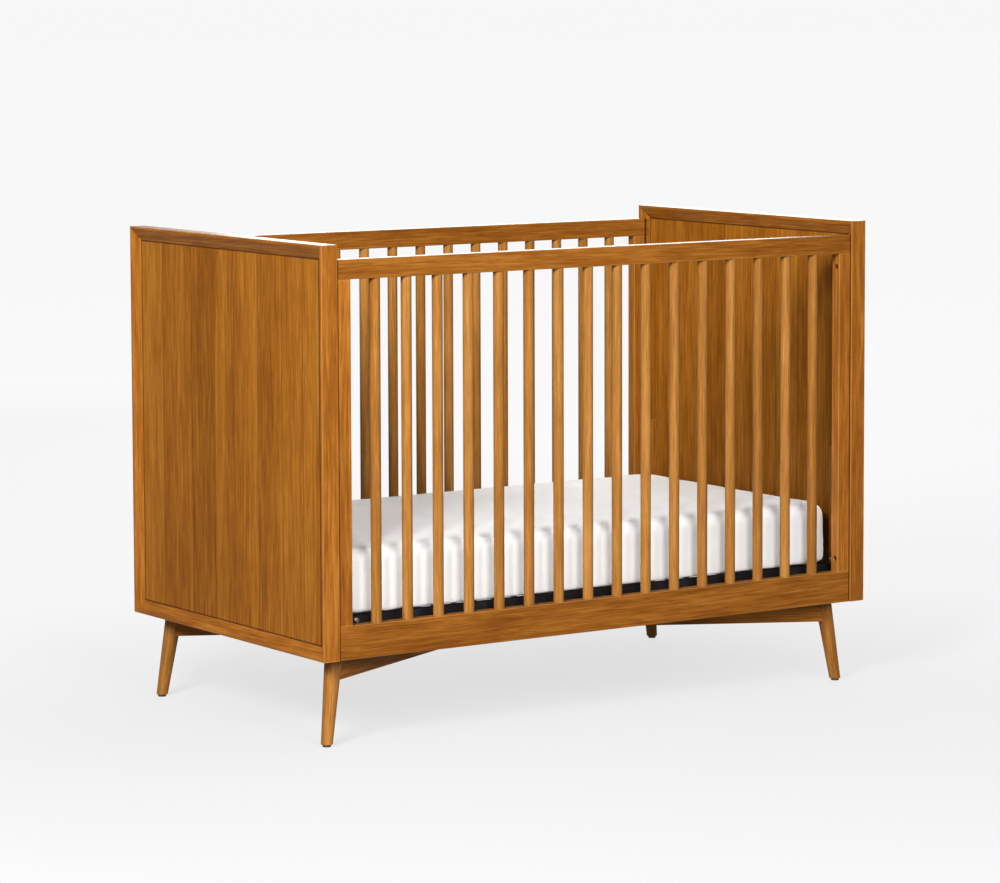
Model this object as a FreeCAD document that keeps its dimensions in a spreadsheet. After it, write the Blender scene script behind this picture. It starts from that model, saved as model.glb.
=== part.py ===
import FreeCAD, Part
import math
import os
import Sketcher

# Baby crib with two framed end panels, two fixed slatted sides, a crossed base on four
# splayed legs and a height-adjustable steel mattress support.
# Frame: X along the length, Y towards the back, Z up, origin on the floor at the middle.

doc = FreeCAD.newDocument("baby_crib")

# driving dimensions, mm

DIMENSIONS = [
    ("length", 1380, "overall length, along X"),
    ("depth", 780, "overall depth, along Y"),
    ("height", 1010, "floor to the top of the ends"),
    ("body_base", 180, "floor to the underside of the body"),
    ("end_thick", 38, "thickness of an end frame"),
    ("frame_wide", 28, "width of an end frame member"),
    ("rim_wide", 6, "flat rim of the end frame, outside its bevel"),
    ("bevel_deep", 12, "depth of the bevel, down to the panel"),
    ("tongue_thick", 6, "thickness of the panel's tongue"),
    ("tongue_long", 8, "reach of the panel's tongue into the frame"),
    ("glue_gap", 0.2, "play of a tongue, tenon or dowel in its seat"),
    ("edge_round", 1.5, "rounding of the long wooden edges"),
    ("side_thick", 24, "thickness of a slatted side"),
    ("side_set_back", 3, "outer face of a side behind the ends' edge"),
    ("side_drop", 30, "top of the ends down to the top of the sides"),
    ("top_rail_high", 40, "height of a side's top rail"),
    ("low_rail_high", 68, "height of a side's bottom rail"),
    ("stile_wide", 32, "width of a side's stile"),
    ("spindle_dia", 22, "diameter of a spindle"),
    ("spindle_count", 16, "spindles in one side"),
    ("tenon_dia", 13, "diameter of a spindle's tenon"),
    ("tenon_long", 14, "length of a spindle's tenon"),
    ("dowel_dia", 8, "dowels between stiles and rails"),
    ("dowel_long", 30, "length of those dowels"),
    ("dowel_spread", 15, "distance between the two dowels of a joint"),
    ("pin_dia", 6, "dowels across the mitres of the ends"),
    ("pin_long", 20, "length of those dowels"),
    ("pin_spread", 14, "distance between the two dowels of a mitre"),
    ("bolt_dia", 6, "thread of the knock-down bolts"),
    ("bolt_head_dia", 11, "head of the knock-down bolts"),
    ("bolt_head_high", 5, "height of that head"),
    ("key_size", 4, "socket of that head, across flats"),
    ("key_deep", 3, "depth of that socket"),
    ("bolt_inset", 28, "bolt centre from the nearest rail of the side"),
    ("counterbore_deep", 9, "depth of a bolt head's recess"),
    ("insert_dia", 10, "outside of a threaded insert"),
    ("insert_long", 14, "length of a threaded insert"),
    ("insert_sink", 8, "insert below the inner face of the end frame"),
    ("bolt_line_gap", 1.5, "insert from the edge of the end's panel"),
    ("hole_gap", 0.3, "radial clearance of a drilled hole"),
    ("thread_gap", 0.05, "radial clearance of a thread or a press seat"),
    ("cleat_wide", 34, "width of a mattress support cleat"),
    ("cleat_thick", 20, "thickness of a cleat"),
    ("cleat_long", 305, "length of a cleat"),
    ("cleat_lift", 30, "underside of the body to the foot of a cleat"),
    ("cleat_over_rail", 2, "least height of that foot over the end's bottom rail"),
    ("cleat_side_gap", 1, "cleat from the inner face of the side"),
    ("screw_dia", 4, "wood screws"),
    ("screw_head_dia", 8, "countersunk head of a wood screw"),
    ("screw_long", 28, "length of a wood screw"),
    ("deck_rise", 78, "underside of the body to the top of the mattress support"),
    ("bolt_over_deck", 10, "upper hanger bolt above the support's top"),
    ("bolt_pair", 30, "distance between the two bolts of a hanger"),
    ("setting_step", 115, "distance between two height settings"),
    ("setting_count", 3, "height settings"),
    ("hanger_thick", 2.5, "steel plate of a hanger"),
    ("hanger_wide", 24, "width of a hanger's fork"),
    ("hanger_foot", 34, "reach of a hanger along the end tube"),
    ("hanger_end", 14, "plate beyond the outer hanger bolts"),
    ("slide_gap", 0.3, "clearance on each face of a hanger"),
    ("slot_gap", 0.4, "radial clearance of a hanger's slot"),
    ("tube_wide", 20, "square tube of the mattress support"),
    ("tube_wall", 1.5, "wall of that tube"),
    ("head_clear", 3, "tube frame from the hanger bolt heads"),
    ("wire_dia", 4, "wires of the support"),
    ("wire_pitch", 50, "largest distance between two wires"),
    ("wire_drop", 0.4, "wires below the top of the tubes"),
    ("brace_wide", 25, "flat braces under the support"),
    ("brace_thick", 3, "thickness of a brace"),
    ("brace_inset", 62, "brace centre from the end of the support"),
    ("brace_bolt_dia", 6, "bolts that hold the braces"),
    ("brace_head_dia", 12, "domed head of those bolts"),
    ("brace_head_high", 3.5, "height of that head"),
    ("brace_head_rim", 1, "straight rim of that head, under its dome"),
    ("brace_bolt_over", 1, "end of that bolt past its nut"),
    ("brace_nut_size", 10, "nut of those bolts, across flats"),
    ("brace_nut_high", 5, "height of that nut"),
    ("ear_gap", 0.6, "brace's ear below the top wires"),
    ("mattress_thick", 133, "thickness of the mattress"),
    ("mattress_play", 15, "mattress to the inner face of each side"),
    ("mattress_end_play", 1, "mattress to the inner rim of each end"),
    ("mattress_corner", 60, "corner radius of the mattress, seen from above"),
    ("mattress_edge", 24, "edge radius of the mattress"),
    ("rest_gap", 0.3, "mattress above the support"),
    ("foot_inset_long", 37, "foot centre from the end of the crib"),
    ("foot_inset_deep", 52, "foot centre from the front or back"),
    ("leg_inset_long", 62, "leg's top centre from the end of the crib"),
    ("leg_inset_deep", 65, "leg's top centre from the front or back"),
    ("leg_top_dia", 36, "leg at the body"),
    ("leg_foot_dia", 24, "leg at the foot"),
    ("leg_chamfer", 1.5, "chamfer round the foot"),
    ("glide_dia", 17, "glide under a foot"),
    ("glide_high", 4, "height of a glide"),
    ("glide_pin_dia", 3, "pin of a glide"),
    ("glide_pin_long", 12, "length of that pin"),
    ("beam_thick", 28, "thickness of a base beam"),
    ("beam_deep", 48, "height of a base beam"),
    ("cope_gap", 0.2, "beam's coped end from the leg"),
    ("block_high", 25, "height of a corner block"),
    ("block_long", 104, "corner block along X"),
    ("block_deep", 75, "corner block along Y"),
    ("leg_bolt_dia", 8, "bolt from a leg into its corner block"),
    ("leg_bolt_long", 60, "length of that bolt"),
    ("leg_bolt_rise", 20, "part of that bolt inside the block"),
    ("beam_bolt_inset", 46, "beam bolt from the leg's top centre"),
    ("beam_counterbore", 14, "recess of the beam bolt's head"),
    ("block_screw_long", 60, "screws from a corner block into the rails"),
    ("block_screw_bite", 16, "part of those screws inside the rail"),
    ("block_screw_spread", 44, "between a block's two screws into the side rail"),
    ("block_screw_lift", 17.5, "underside of the body to those screws"),
]

sheet = doc.addObject("Spreadsheet::Sheet", "Dims")
for row, (alias, value, note) in enumerate(DIMENSIONS, start=1):
    sheet.set(f"A{row}", note)
    sheet.set(f"B{row}", str(value))
    sheet.setAlias(f"B{row}", alias)
doc.recompute()

ENDS = {"left": -1, "right": 1}
SIDES = {"front": -1, "back": 1}
OVER = 2  # how far a cutting tool runs past the wood

# Lines that several pieces share, as expressions on the sheet.
END_INNER = "(Dims.length / 2 - Dims.end_thick)"
PANEL_FACE = f"({END_INNER} + Dims.bevel_deep)"
END_MIDDLE = "(Dims.length / 2 - Dims.end_thick / 2)"
SIDE_OUTER = "(Dims.depth / 2 - Dims.side_set_back)"
SIDE_INNER = f"({SIDE_OUTER} - Dims.side_thick)"
SIDE_MIDDLE = f"({SIDE_OUTER} - Dims.side_thick / 2)"
RIM_EDGE = "(Dims.depth / 2 - Dims.rim_wide)"
STILE_INNER = f"({END_INNER} - Dims.stile_wide)"
# The bolts into an end stile pass outside the edge of its panel.
BOLT_LINE = (
    f"max({SIDE_MIDDLE}; Dims.depth / 2 - Dims.frame_wide + Dims.tongue_long"
    " + Dims.insert_dia / 2 + Dims.bolt_line_gap)"
)
LOW_RAIL_TOP = "(Dims.body_base + Dims.low_rail_high)"
TOP_RAIL_BASE = "(Dims.height - Dims.side_drop - Dims.top_rail_high)"
SPINDLE_LONG = f"({TOP_RAIL_BASE} - {LOW_RAIL_TOP})"
SPINDLE_PITCH = f"((2 * {STILE_INNER} + Dims.spindle_dia) / (Dims.spindle_count + 1))"
# The sides' ends are scribed to the bevel of the end frames.
SCRIBE = (
    "(Dims.bevel_deep * min(1; (Dims.side_set_back + Dims.side_thick - Dims.rim_wide)"
    " / (Dims.frame_wide - Dims.rim_wide)))"
)
CLEAT_FACE = f"({PANEL_FACE} - Dims.cleat_thick)"
CLEAT_OUTER = f"(min({SIDE_INNER}; Dims.depth / 2 - Dims.frame_wide) - Dims.cleat_side_gap)"
CLEAT_MIDDLE = f"({CLEAT_OUTER} - Dims.cleat_wide / 2)"
CLEAT_BASE = "(Dims.body_base + max(Dims.cleat_lift; Dims.frame_wide + Dims.cleat_over_rail))"
DECK_TOP = "(Dims.body_base + Dims.deck_rise)"
TUBE_BASE = f"({DECK_TOP} - Dims.tube_wide)"
UPPER_BOLT = f"({DECK_TOP} + Dims.bolt_over_deck)"
LOWER_BOLT = f"({UPPER_BOLT} - Dims.bolt_pair)"
DECK_HALF_LONG = f"({CLEAT_FACE} - Dims.slide_gap - Dims.hanger_thick)"
DECK_HALF_DEEP = f"({CLEAT_MIDDLE} - Dims.bolt_head_dia / 2 - Dims.head_clear)"


def measure(expression):
    """Number that an expression on the sheet gives, in mm."""
    return float(sheet.evalExpression(expression))


def point(x, y, z):
    """Vector from three numbers or expressions."""
    return FreeCAD.Vector(*(measure(str(part)) for part in (x, y, z)))


def place(piece, x, y, z):
    """Ties the piece's position to expressions on the sheet."""
    for axis, expression in zip("xyz", (x, y, z)):
        piece.setExpression(f"Placement.Base.{axis}", str(expression))
    return piece


def aim(direction):
    """Rotation that turns +Z to a direction."""
    return FreeCAD.Rotation(FreeCAD.Vector(0, 0, 1), direction)


# sketches and features


def origin_feature(body, role):
    return next(feature for feature in body.Origin.OriginFeatures if feature.Role == role)


def new_body(name):
    return doc.addObject("PartDesign::Body", name)


def new_sketch(body, role, lift=None):
    """Sketch on one of the body's origin planes, raised along its normal."""
    sketch = body.newObject("Sketcher::SketchObject", "Sketch")
    sketch.AttachmentSupport = [(origin_feature(body, role), "")]
    sketch.MapMode = "FlatFace"
    if lift:
        sketch.setExpression("AttachmentOffset.Base.z", lift)
    return sketch


def fix_point(sketch, element, vertex, across, up):
    """Dimensions a point from the sketch's origin."""
    for kind, expression in (("DistanceX", across), ("DistanceY", up)):
        constraint = Sketcher.Constraint(kind, -1, 1, element, vertex, measure(expression))
        index = sketch.addConstraint(constraint)
        sketch.setExpression(f"Constraints[{index}]", expression)


def draw_outline(sketch, corners):
    """Closed polygon through corners given as pairs of expressions."""
    places = [FreeCAD.Vector(measure(across), measure(up), 0) for across, up in corners]
    first = sketch.GeometryCount
    count = len(corners)
    for index in range(count):
        line = Part.LineSegment(places[index], places[(index + 1) % count])
        sketch.addGeometry(line, False)
    for index in range(count):
        following = first + (index + 1) % count
        sketch.addConstraint(Sketcher.Constraint("Coincident", first + index, 2, following, 1))
    for index, (across, up) in enumerate(corners):
        fix_point(sketch, first + index, 1, across, up)


def draw_rectangle(sketch, low_across, high_across, low_up, high_up):
    corners = [(low_across, low_up), (high_across, low_up)]
    corners += [(high_across, high_up), (low_across, high_up)]
    draw_outline(sketch, corners)


def draw_circle(sketch, across, up, diameter):
    centre = FreeCAD.Vector(measure(across), measure(up), 0)
    normal = FreeCAD.Vector(0, 0, 1)
    circle = sketch.addGeometry(Part.Circle(centre, normal, measure(diameter) / 2), False)
    fix_point(sketch, circle, 3, across, up)
    index = sketch.addConstraint(Sketcher.Constraint("Diameter", circle, measure(diameter)))
    sketch.setExpression(f"Constraints[{index}]", diameter)


def pad(body, sketch, length, symmetric=False):
    feature = body.newObject("PartDesign::Pad", "Pad")
    feature.Profile = sketch
    feature.setExpression("Length", length)
    if symmetric:
        feature.SideType = "Symmetric"
    body.Tip = feature
    doc.recompute()
    return feature


def cut_through(body, sketch):
    """Pocket through the whole piece, both ways."""
    before = body.Shape.Volume
    feature = body.newObject("PartDesign::Pocket", "Pocket")
    feature.Profile = sketch
    feature.Type = "ThroughAll"
    feature.SideType = "Symmetric"
    body.Tip = feature
    doc.recompute()
    if body.Shape.Volume >= before:
        raise RuntimeError(f"{body.Name}: a through pocket removed nothing")
    return feature


def cut_blind(body, sketch, deep, upwards):
    """Pocket of a given depth, along the sketch's normal or against it."""
    before = body.Shape.Volume
    feature = body.newObject("PartDesign::Pocket", "Pocket")
    feature.Profile = sketch
    feature.setExpression("Length", deep)
    feature.Reversed = upwards
    body.Tip = feature
    doc.recompute()
    if body.Shape.Volume >= before:
        raise RuntimeError(f"{body.Name}: a blind pocket removed nothing")
    return feature


def repeat_along_x(body, feature, pitch, count):
    pattern = body.newObject("PartDesign::LinearPattern", "Pattern")
    pattern.Originals = [feature]
    pattern.Direction = (origin_feature(body, "X_Axis"), [""])
    pattern.setExpression("Length", f"{pitch} * ({count} - 1)")
    pattern.setExpression("Occurrences", count)
    body.Tip = pattern
    doc.recompute()
    return pattern


def long_edges(shape, axis, wanted=None):
    """Names of the straight edges along an axis, at least half as long as the longest."""
    runs = {}
    for number, edge in enumerate(shape.Edges, start=1):
        if not isinstance(edge.Curve, Part.Line):
            continue
        if abs(edge.tangentAt(edge.FirstParameter).dot(axis)) < 0.999:
            continue
        if wanted is None or wanted(edge.CenterOfMass):
            runs[number] = edge.Length
    longest = max(runs.values())
    return [f"Edge{number}" for number, length in runs.items() if length > longest / 2]


def round_edges(body, feature, names, radius="Dims.edge_round"):
    fillet = body.newObject("PartDesign::Fillet", "Fillet")
    fillet.Base = (feature, names)
    fillet.setExpression("Radius", radius)
    body.Tip = fillet
    doc.recompute()
    return fillet


# primitives and booleans


def rod(name, radius, length, x=0, y=0, z=0, direction=FreeCAD.Vector(0, 0, 1)):
    piece = doc.addObject("Part::Cylinder", name)
    piece.setExpression("Radius", radius)
    piece.setExpression("Height", length)
    piece.Placement.Rotation = aim(direction)
    return place(piece, x, y, z)


def block(name, long, deep, high, x=0, y=0, z=0):
    """Box centred on x and y, standing on z."""
    piece = doc.addObject("Part::Box", name)
    piece.setExpression("Length", long)
    piece.setExpression("Width", deep)
    piece.setExpression("Height", high)
    return place(piece, f"{x} - ({long}) / 2", f"{y} - ({deep}) / 2", z)


def group(name, pieces):
    compound = doc.addObject("Part::Compound", name)
    compound.Links = pieces
    doc.recompute()
    return compound


def cut(name, base, tools):
    result = doc.addObject("Part::Cut", name)
    result.Base = base
    result.Tool = tools[0] if len(tools) == 1 else group(f"{name}_tools", tools)
    doc.recompute()
    return result


def fuse(name, pieces):
    result = doc.addObject("Part::MultiFuse", name)
    result.Shapes = pieces
    doc.recompute()
    return result


def copy_of(master, placement):
    link = doc.addObject("App::Link", f"{master.Name}_copy")
    link.LinkedObject = master
    link.Placement = placement
    return link


def set_of(name, master, placements):
    """One node that holds a copy of the master at each placement."""
    return group(name, [copy_of(master, placement) for placement in placements])


nodes = {}


def keep(label, piece):
    """Makes the piece a node of the assembly, under its own name."""
    piece.Label = label
    nodes[label] = piece
    return piece


# masters of the hardware


def socket_bolt(name, shank_long):
    """Cap bolt along +Z: its head below z = 0, its shank above."""
    head = rod(
        f"{name}_head", "Dims.bolt_head_dia / 2", "Dims.bolt_head_high", z="-Dims.bolt_head_high"
    )
    shank = rod(f"{name}_shank", "Dims.bolt_dia / 2", shank_long)
    socket = doc.addObject("Part::Prism", f"{name}_socket")
    socket.Polygon = 6
    socket.setExpression("Circumradius", "Dims.key_size / sqrt(3)")
    socket.setExpression("Height", "Dims.key_deep")
    place(socket, 0, 0, "-Dims.bolt_head_high")
    return cut(name, fuse(f"{name}_blank", [head, shank]), [socket])


def wood_screw(name, length):
    """Countersunk screw along +Z with its flat head at z = 0."""
    head = doc.addObject("Part::Cone", f"{name}_head")
    head.setExpression("Radius1", "Dims.screw_head_dia / 2")
    head.setExpression("Radius2", "Dims.screw_dia / 2")
    head.setExpression("Height", "(Dims.screw_head_dia - Dims.screw_dia) / 2")
    shank = rod(f"{name}_shank", "Dims.screw_dia / 2", length)
    return fuse(name, [head, shank])


def threaded_insert(name):
    sleeve = rod(f"{name}_sleeve", "Dims.insert_dia / 2", "Dims.insert_long")
    bore = rod(f"{name}_bore", "Dims.bolt_dia / 2 + Dims.thread_gap", "Dims.insert_long")
    return cut(name, sleeve, [bore])


insert_master = threaded_insert("insert_master")
insert_places = []
EYE = FreeCAD.Vector(1, 0, 0)
UP = FreeCAD.Vector(0, 0, 1)
AWAY = FreeCAD.Vector(0, 1, 0)
INSERT_SEAT = "Dims.insert_dia / 2 + Dims.thread_gap"
BOLT_HOLE = "Dims.bolt_dia / 2 + Dims.hole_gap"
HEAD_HOLE = "Dims.bolt_head_dia / 2 + Dims.hole_gap"
SCREW_HOLE = "Dims.screw_dia / 2 + Dims.thread_gap"

# end frames and panels


def bevel_outline(side, edge, inner):
    """Wedge cut off one face of a frame member: across its width, then in thickness."""
    over = str(OVER)
    face = "Dims.end_thick / 2"
    past = f"{inner} - {side} * {over}"
    return [
        (f"{face}", edge),
        (f"{face} + {over}", edge),
        (f"{face} + {over}", past),
        (f"{face} - Dims.bevel_deep", past),
        (f"{face} - Dims.bevel_deep", inner),
    ]


def shape_member(body, plane, sign, outer):
    """Bevels both faces of a member and grooves it for the panel."""
    edge = f"{outer} - {sign} * Dims.rim_wide"
    inner = f"{outer} - {sign} * Dims.frame_wide"
    profile = new_sketch(body, plane)
    corners = bevel_outline(sign, edge, inner)
    draw_outline(profile, corners)
    draw_outline(profile, [(f"-({across})", up) for across, up in corners])
    cut_through(body, profile)
    groove = new_sketch(body, plane)
    half = "(Dims.tongue_thick / 2 + Dims.glue_gap)"
    floor = f"{inner} + {sign} * (Dims.tongue_long + Dims.glue_gap)"
    past = f"{inner} - {sign} * {OVER}"
    draw_rectangle(groove, f"-{half}", half, past, floor)
    cut_through(body, groove)


def end_member(name, end, corners, plane, sign, outer, axis):
    """Mitred frame member: face outline, bevels, groove and rounded outer edges."""
    body = new_body(name)
    face = new_sketch(body, "YZ_Plane")
    draw_outline(face, corners)
    blank = pad(body, face, "Dims.end_thick", symmetric=True)
    rim = measure(outer)

    def on_the_rim(middle):
        across = middle.y if plane == "XY_Plane" else middle.z
        return abs(across - rim) < 1

    round_edges(body, blank, long_edges(blank.Shape, axis, on_the_rim))
    shape_member(body, plane, sign, outer)
    return place(body, f"{end} * {END_MIDDLE}", 0, 0)


def mitre_pins(end):
    """Rods across the four mitres of one end, with the room around them."""
    pins, seats = [], []
    for side in SIDES.values():
        for up, level in ((1, "Dims.height"), (-1, "Dims.body_base")):
            lean = FreeCAD.Vector(0, side, -up).normalize()
            for shift in (-1, 1):
                x = f"{end} * {END_MIDDLE} + {shift} * Dims.pin_spread / 2"
                play = "(Dims.pin_long / 2 + Dims.glue_gap)"
                for kind, radius, long in (
                    (pins, "Dims.pin_dia / 2", "Dims.pin_long"),
                    (seats, "Dims.pin_dia / 2 + Dims.glue_gap", f"2 * {play}"),
                ):
                    start = f"({long}) / 2 / sqrt(2)"
                    y = f"{side} * (Dims.depth / 2 - Dims.frame_wide / 2 - {start})"
                    z = f"{level} - {up} * (Dims.frame_wide / 2 - {start})"
                    kind.append(rod("mitre_rod", radius, long, x, y, z, lean))
    return pins, seats


def side_bolt_levels():
    return [f"({LOW_RAIL_TOP} + Dims.bolt_inset)", f"({TOP_RAIL_BASE} - Dims.bolt_inset)"]


def stile_bolt_holes(end, side):
    """Seats of the inserts in an end stile."""
    seats = []
    direction = FreeCAD.Vector(-end, 0, 0)
    for level in side_bolt_levels():
        deep = f"({END_INNER} + Dims.insert_sink + Dims.insert_long + Dims.glue_gap)"
        x = f"{end} * {deep}"
        y = f"{side} * {BOLT_LINE}"
        long = f"Dims.insert_sink + Dims.insert_long + Dims.glue_gap + {OVER}"
        seats.append(rod("insert_seat", INSERT_SEAT, long, x, y, level, direction))
        middle = point(f"{end} * ({END_INNER} + Dims.insert_sink)", y, level)
        insert_places.append(FreeCAD.Placement(middle, aim(FreeCAD.Vector(end, 0, 0))))
    return seats


def cleat_screw_levels():
    """Screws sit midway between the bolt pairs, and once below them."""
    gap = "(Dims.setting_step - Dims.bolt_pair) / 2"
    levels = [f"{UPPER_BOLT} + {gap} + {step} * Dims.setting_step" for step in range(2)]
    return [f"({CLEAT_BASE} + {LOWER_BOLT}) / 2"] + levels


def make_end(end_name, end):
    half = "Dims.depth / 2"
    wide = "Dims.frame_wide"
    top, base = "Dims.height", "Dims.body_base"
    pins, seats = mitre_pins(end)
    for rail_name, sign, level in (("top_rail", 1, top), ("bottom_rail", -1, base)):
        inner = f"{level} - {sign} * {wide}"
        corners = [(f"-{half}", level), (half, level)]
        corners += [(f"{half} - {wide}", inner), (f"-({half} - {wide})", inner)]
        name = f"{end_name}_end_{rail_name}"
        member = end_member(f"{name}_wood", end, corners, "XZ_Plane", sign, level, AWAY)
        keep(name, cut(f"{name}_drilled", member, seats))
    for side_name, side in SIDES.items():
        outer = f"{side} * {half}"
        inner = f"{side} * ({half} - {wide})"
        corners = [(outer, top), (outer, base)]
        corners += [(inner, f"{base} + {wide}"), (inner, f"{top} - {wide}")]
        name = f"{end_name}_end_{side_name}_stile"
        member = end_member(f"{name}_wood", end, corners, "XY_Plane", side, outer, UP)
        holes = stile_bolt_holes(end, side)
        keep(name, cut(f"{name}_drilled", member, seats + holes))
    make_panel(end_name, end)
    return pins


def make_panel(end_name, end):
    """Panel with a thinner tongue all round, which floats in the frame's groove."""
    body = new_body(f"{end_name}_panel_wood")
    half = "Dims.depth / 2 - Dims.frame_wide"
    low = "Dims.body_base + Dims.frame_wide"
    high = "Dims.height - Dims.frame_wide"
    for reach, thick in (
        ("-Dims.glue_gap", "Dims.end_thick - 2 * Dims.bevel_deep"),
        ("Dims.tongue_long", "Dims.tongue_thick"),
    ):
        face = new_sketch(body, "YZ_Plane")
        draw_rectangle(
            face,
            f"-({half} + {reach})",
            f"{half} + {reach}",
            f"{low} - {reach}",
            f"{high} + {reach}",
        )
        pad(body, face, thick, symmetric=True)
    place(body, f"{end} * {END_MIDDLE}", 0, 0)
    pilots = []
    bite = "(Dims.screw_long - Dims.cleat_thick + Dims.glue_gap)"
    for side in SIDES.values():
        for level in cleat_screw_levels():
            x = f"{end} * ({PANEL_FACE} - {OVER})"
            direction = FreeCAD.Vector(end, 0, 0)
            long = f"{bite} + {OVER}"
            y = f"{side} * {CLEAT_MIDDLE}"
            pilots.append(rod("pilot", SCREW_HOLE, long, x, y, level, direction))
    name = f"{end_name}_end_panel"
    keep(name, cut(f"{name}_drilled", body, pilots))


# slatted sides


def scribed_rail(name, side, high, sockets_up, socket_lift):
    """Side rail, scribed to the end frames, with a row of spindle sockets."""
    body = new_body(name)
    plan = new_sketch(body, "XY_Plane")
    outer, inner = f"{side} * {SIDE_OUTER}", f"{side} * {SIDE_INNER}"
    edge = f"{side} * min({SIDE_OUTER}; {RIM_EDGE})"
    tip = f"({END_INNER} + {SCRIBE})"
    corners = [(f"-{END_INNER}", outer), (END_INNER, outer), (END_INNER, edge)]
    corners += [(tip, inner), (f"-{tip}", inner), (f"-{END_INNER}", edge)]
    draw_outline(plan, corners)
    blank = pad(body, plan, high)
    round_edges(body, blank, long_edges(blank.Shape, EYE))
    socket = new_sketch(body, "XY_Plane", socket_lift)
    first = f"-{SPINDLE_PITCH} * (Dims.spindle_count - 1) / 2"
    seat = "Dims.tenon_dia + 2 * Dims.glue_gap"
    draw_circle(socket, first, f"{side} * {SIDE_MIDDLE}", seat)
    hole = cut_blind(body, socket, "Dims.tenon_long + Dims.glue_gap", sockets_up)
    repeat_along_x(body, hole, SPINDLE_PITCH, "Dims.spindle_count")
    return body


def frame_wedge(name, end, sign, level):
    """The bevelled wood of an end's top or bottom rail, as a tool that scribes a side to it."""
    body = new_body(name)
    profile = new_sketch(body, "XZ_Plane")
    edge, inner = f"{level} - {sign} * Dims.rim_wide", f"{level} - {sign} * Dims.frame_wide"
    rim, deep = f"{end} * {END_INNER}", f"{end} * ({END_INNER} + Dims.bevel_deep)"
    far, past = f"{end} * Dims.length / 2", f"{level} + {sign} * {OVER}"
    draw_outline(profile, [(rim, past), (rim, edge), (deep, inner), (far, inner), (far, past)])
    pad(body, profile, "Dims.depth", symmetric=True)
    return body


def side_stile(name, side, end):
    body = new_body(name)
    plan = new_sketch(body, "XY_Plane")
    outer, inner = f"{side} * {SIDE_OUTER}", f"{side} * {SIDE_INNER}"
    edge = f"{side} * min({SIDE_OUTER}; {RIM_EDGE})"
    near, far = f"{end} * {STILE_INNER}", f"{end} * {END_INNER}"
    tip = f"{end} * ({END_INNER} + {SCRIBE})"
    draw_outline(plan, [(near, outer), (far, outer), (far, edge), (tip, inner), (near, inner)])
    blank = pad(body, plan, SPINDLE_LONG)
    bound = measure(STILE_INNER) + 1

    def faces_the_spindles(middle):
        return abs(middle.x) < bound

    round_edges(body, blank, long_edges(blank.Shape, UP, faces_the_spindles))
    return place(body, 0, 0, LOW_RAIL_TOP)


def joint_dowels(side):
    """Dowels between one side's stiles and rails, with the room around them."""
    dowels, seats = [], []
    middle = f"({END_INNER} - Dims.stile_wide / 2)"
    for end in ENDS.values():
        for level in (LOW_RAIL_TOP, TOP_RAIL_BASE):
            for shift in (-1, 1):
                x = f"{end} * {middle} + {shift} * Dims.dowel_spread / 2"
                y = f"{side} * {SIDE_MIDDLE}"
                for kind, play in ((dowels, "0"), (seats, "Dims.glue_gap")):
                    long = f"Dims.dowel_long + 2 * {play}"
                    z = f"{level} - ({long}) / 2"
                    kind.append(rod("dowel", f"Dims.dowel_dia / 2 + {play}", long, x, y, z))
    return dowels, seats


def side_bolt_holes(side, end):
    """Recess and through hole of the bolts that run from a side stile into the end."""
    holes = []
    direction = FreeCAD.Vector(end, 0, 0)
    for level in side_bolt_levels():
        x = f"{end} * ({STILE_INNER} - {OVER})"
        y = f"{side} * {BOLT_LINE}"
        deep = f"Dims.counterbore_deep + {OVER}"
        holes.append(rod("recess", HEAD_HOLE, deep, x, y, level, direction))
        long = f"Dims.stile_wide + Dims.bevel_deep + {2 * OVER}"
        holes.append(rod("through", BOLT_HOLE, long, x, y, level, direction))
    return holes


def make_side(side_name, side):
    dowels, seats = joint_dowels(side)
    low = scribed_rail(
        f"{side_name}_low_wood", side, "Dims.low_rail_high", False, "Dims.low_rail_high"
    )
    place(low, 0, 0, "Dims.body_base")
    top = scribed_rail(f"{side_name}_top_wood", side, "Dims.top_rail_high", True, None)
    place(top, 0, 0, TOP_RAIL_BASE)
    low_tools, top_tools = seats + block_screw_seats(side), seats
    for end in ENDS.values():
        low_tools = low_tools + [frame_wedge("low_wedge", end, -1, "Dims.body_base")]
        top_tools = top_tools + [frame_wedge("top_wedge", end, 1, "Dims.height")]
    keep(f"{side_name}_bottom_rail", cut(f"{side_name}_low_drilled", low, low_tools))
    keep(f"{side_name}_top_rail", cut(f"{side_name}_top_drilled", top, top_tools))
    for end_name, end in ENDS.items():
        name = f"{side_name}_{end_name}_stile"
        wood = side_stile(f"{name}_wood", side, end)
        keep(name, cut(f"{name}_drilled", wood, seats + side_bolt_holes(side, end)))
    keep(f"{side_name}_spindles", spindle_row(f"{side_name}_spindle_row", side))
    return dowels


def spindle_row(name, side):
    """Turned spindles with a tenon at both ends, repeated along the side."""
    body = new_body(name)
    body.AllowCompound = True
    half = new_sketch(body, "XZ_Plane")
    tenon, full = "Dims.tenon_dia / 2", "Dims.spindle_dia / 2"
    top = SPINDLE_LONG
    outline = [("0", "-Dims.tenon_long"), (tenon, "-Dims.tenon_long"), (tenon, "0"), (full, "0")]
    outline += [(full, top), (tenon, top), (tenon, f"{top} + Dims.tenon_long")]
    outline += [("0", f"{top} + Dims.tenon_long")]
    draw_outline(half, outline)
    turned = body.newObject("PartDesign::Revolution", "Turned")
    turned.Profile = half
    turned.ReferenceAxis = (half, ["V_Axis"])
    turned.Angle = 360
    body.Tip = turned
    doc.recompute()
    repeat_along_x(body, turned, SPINDLE_PITCH, "Dims.spindle_count")
    first = f"-{SPINDLE_PITCH} * (Dims.spindle_count - 1) / 2"
    return place(body, first, f"{side} * {SIDE_MIDDLE}", LOW_RAIL_TOP)


# legs, beams, corner blocks

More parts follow.
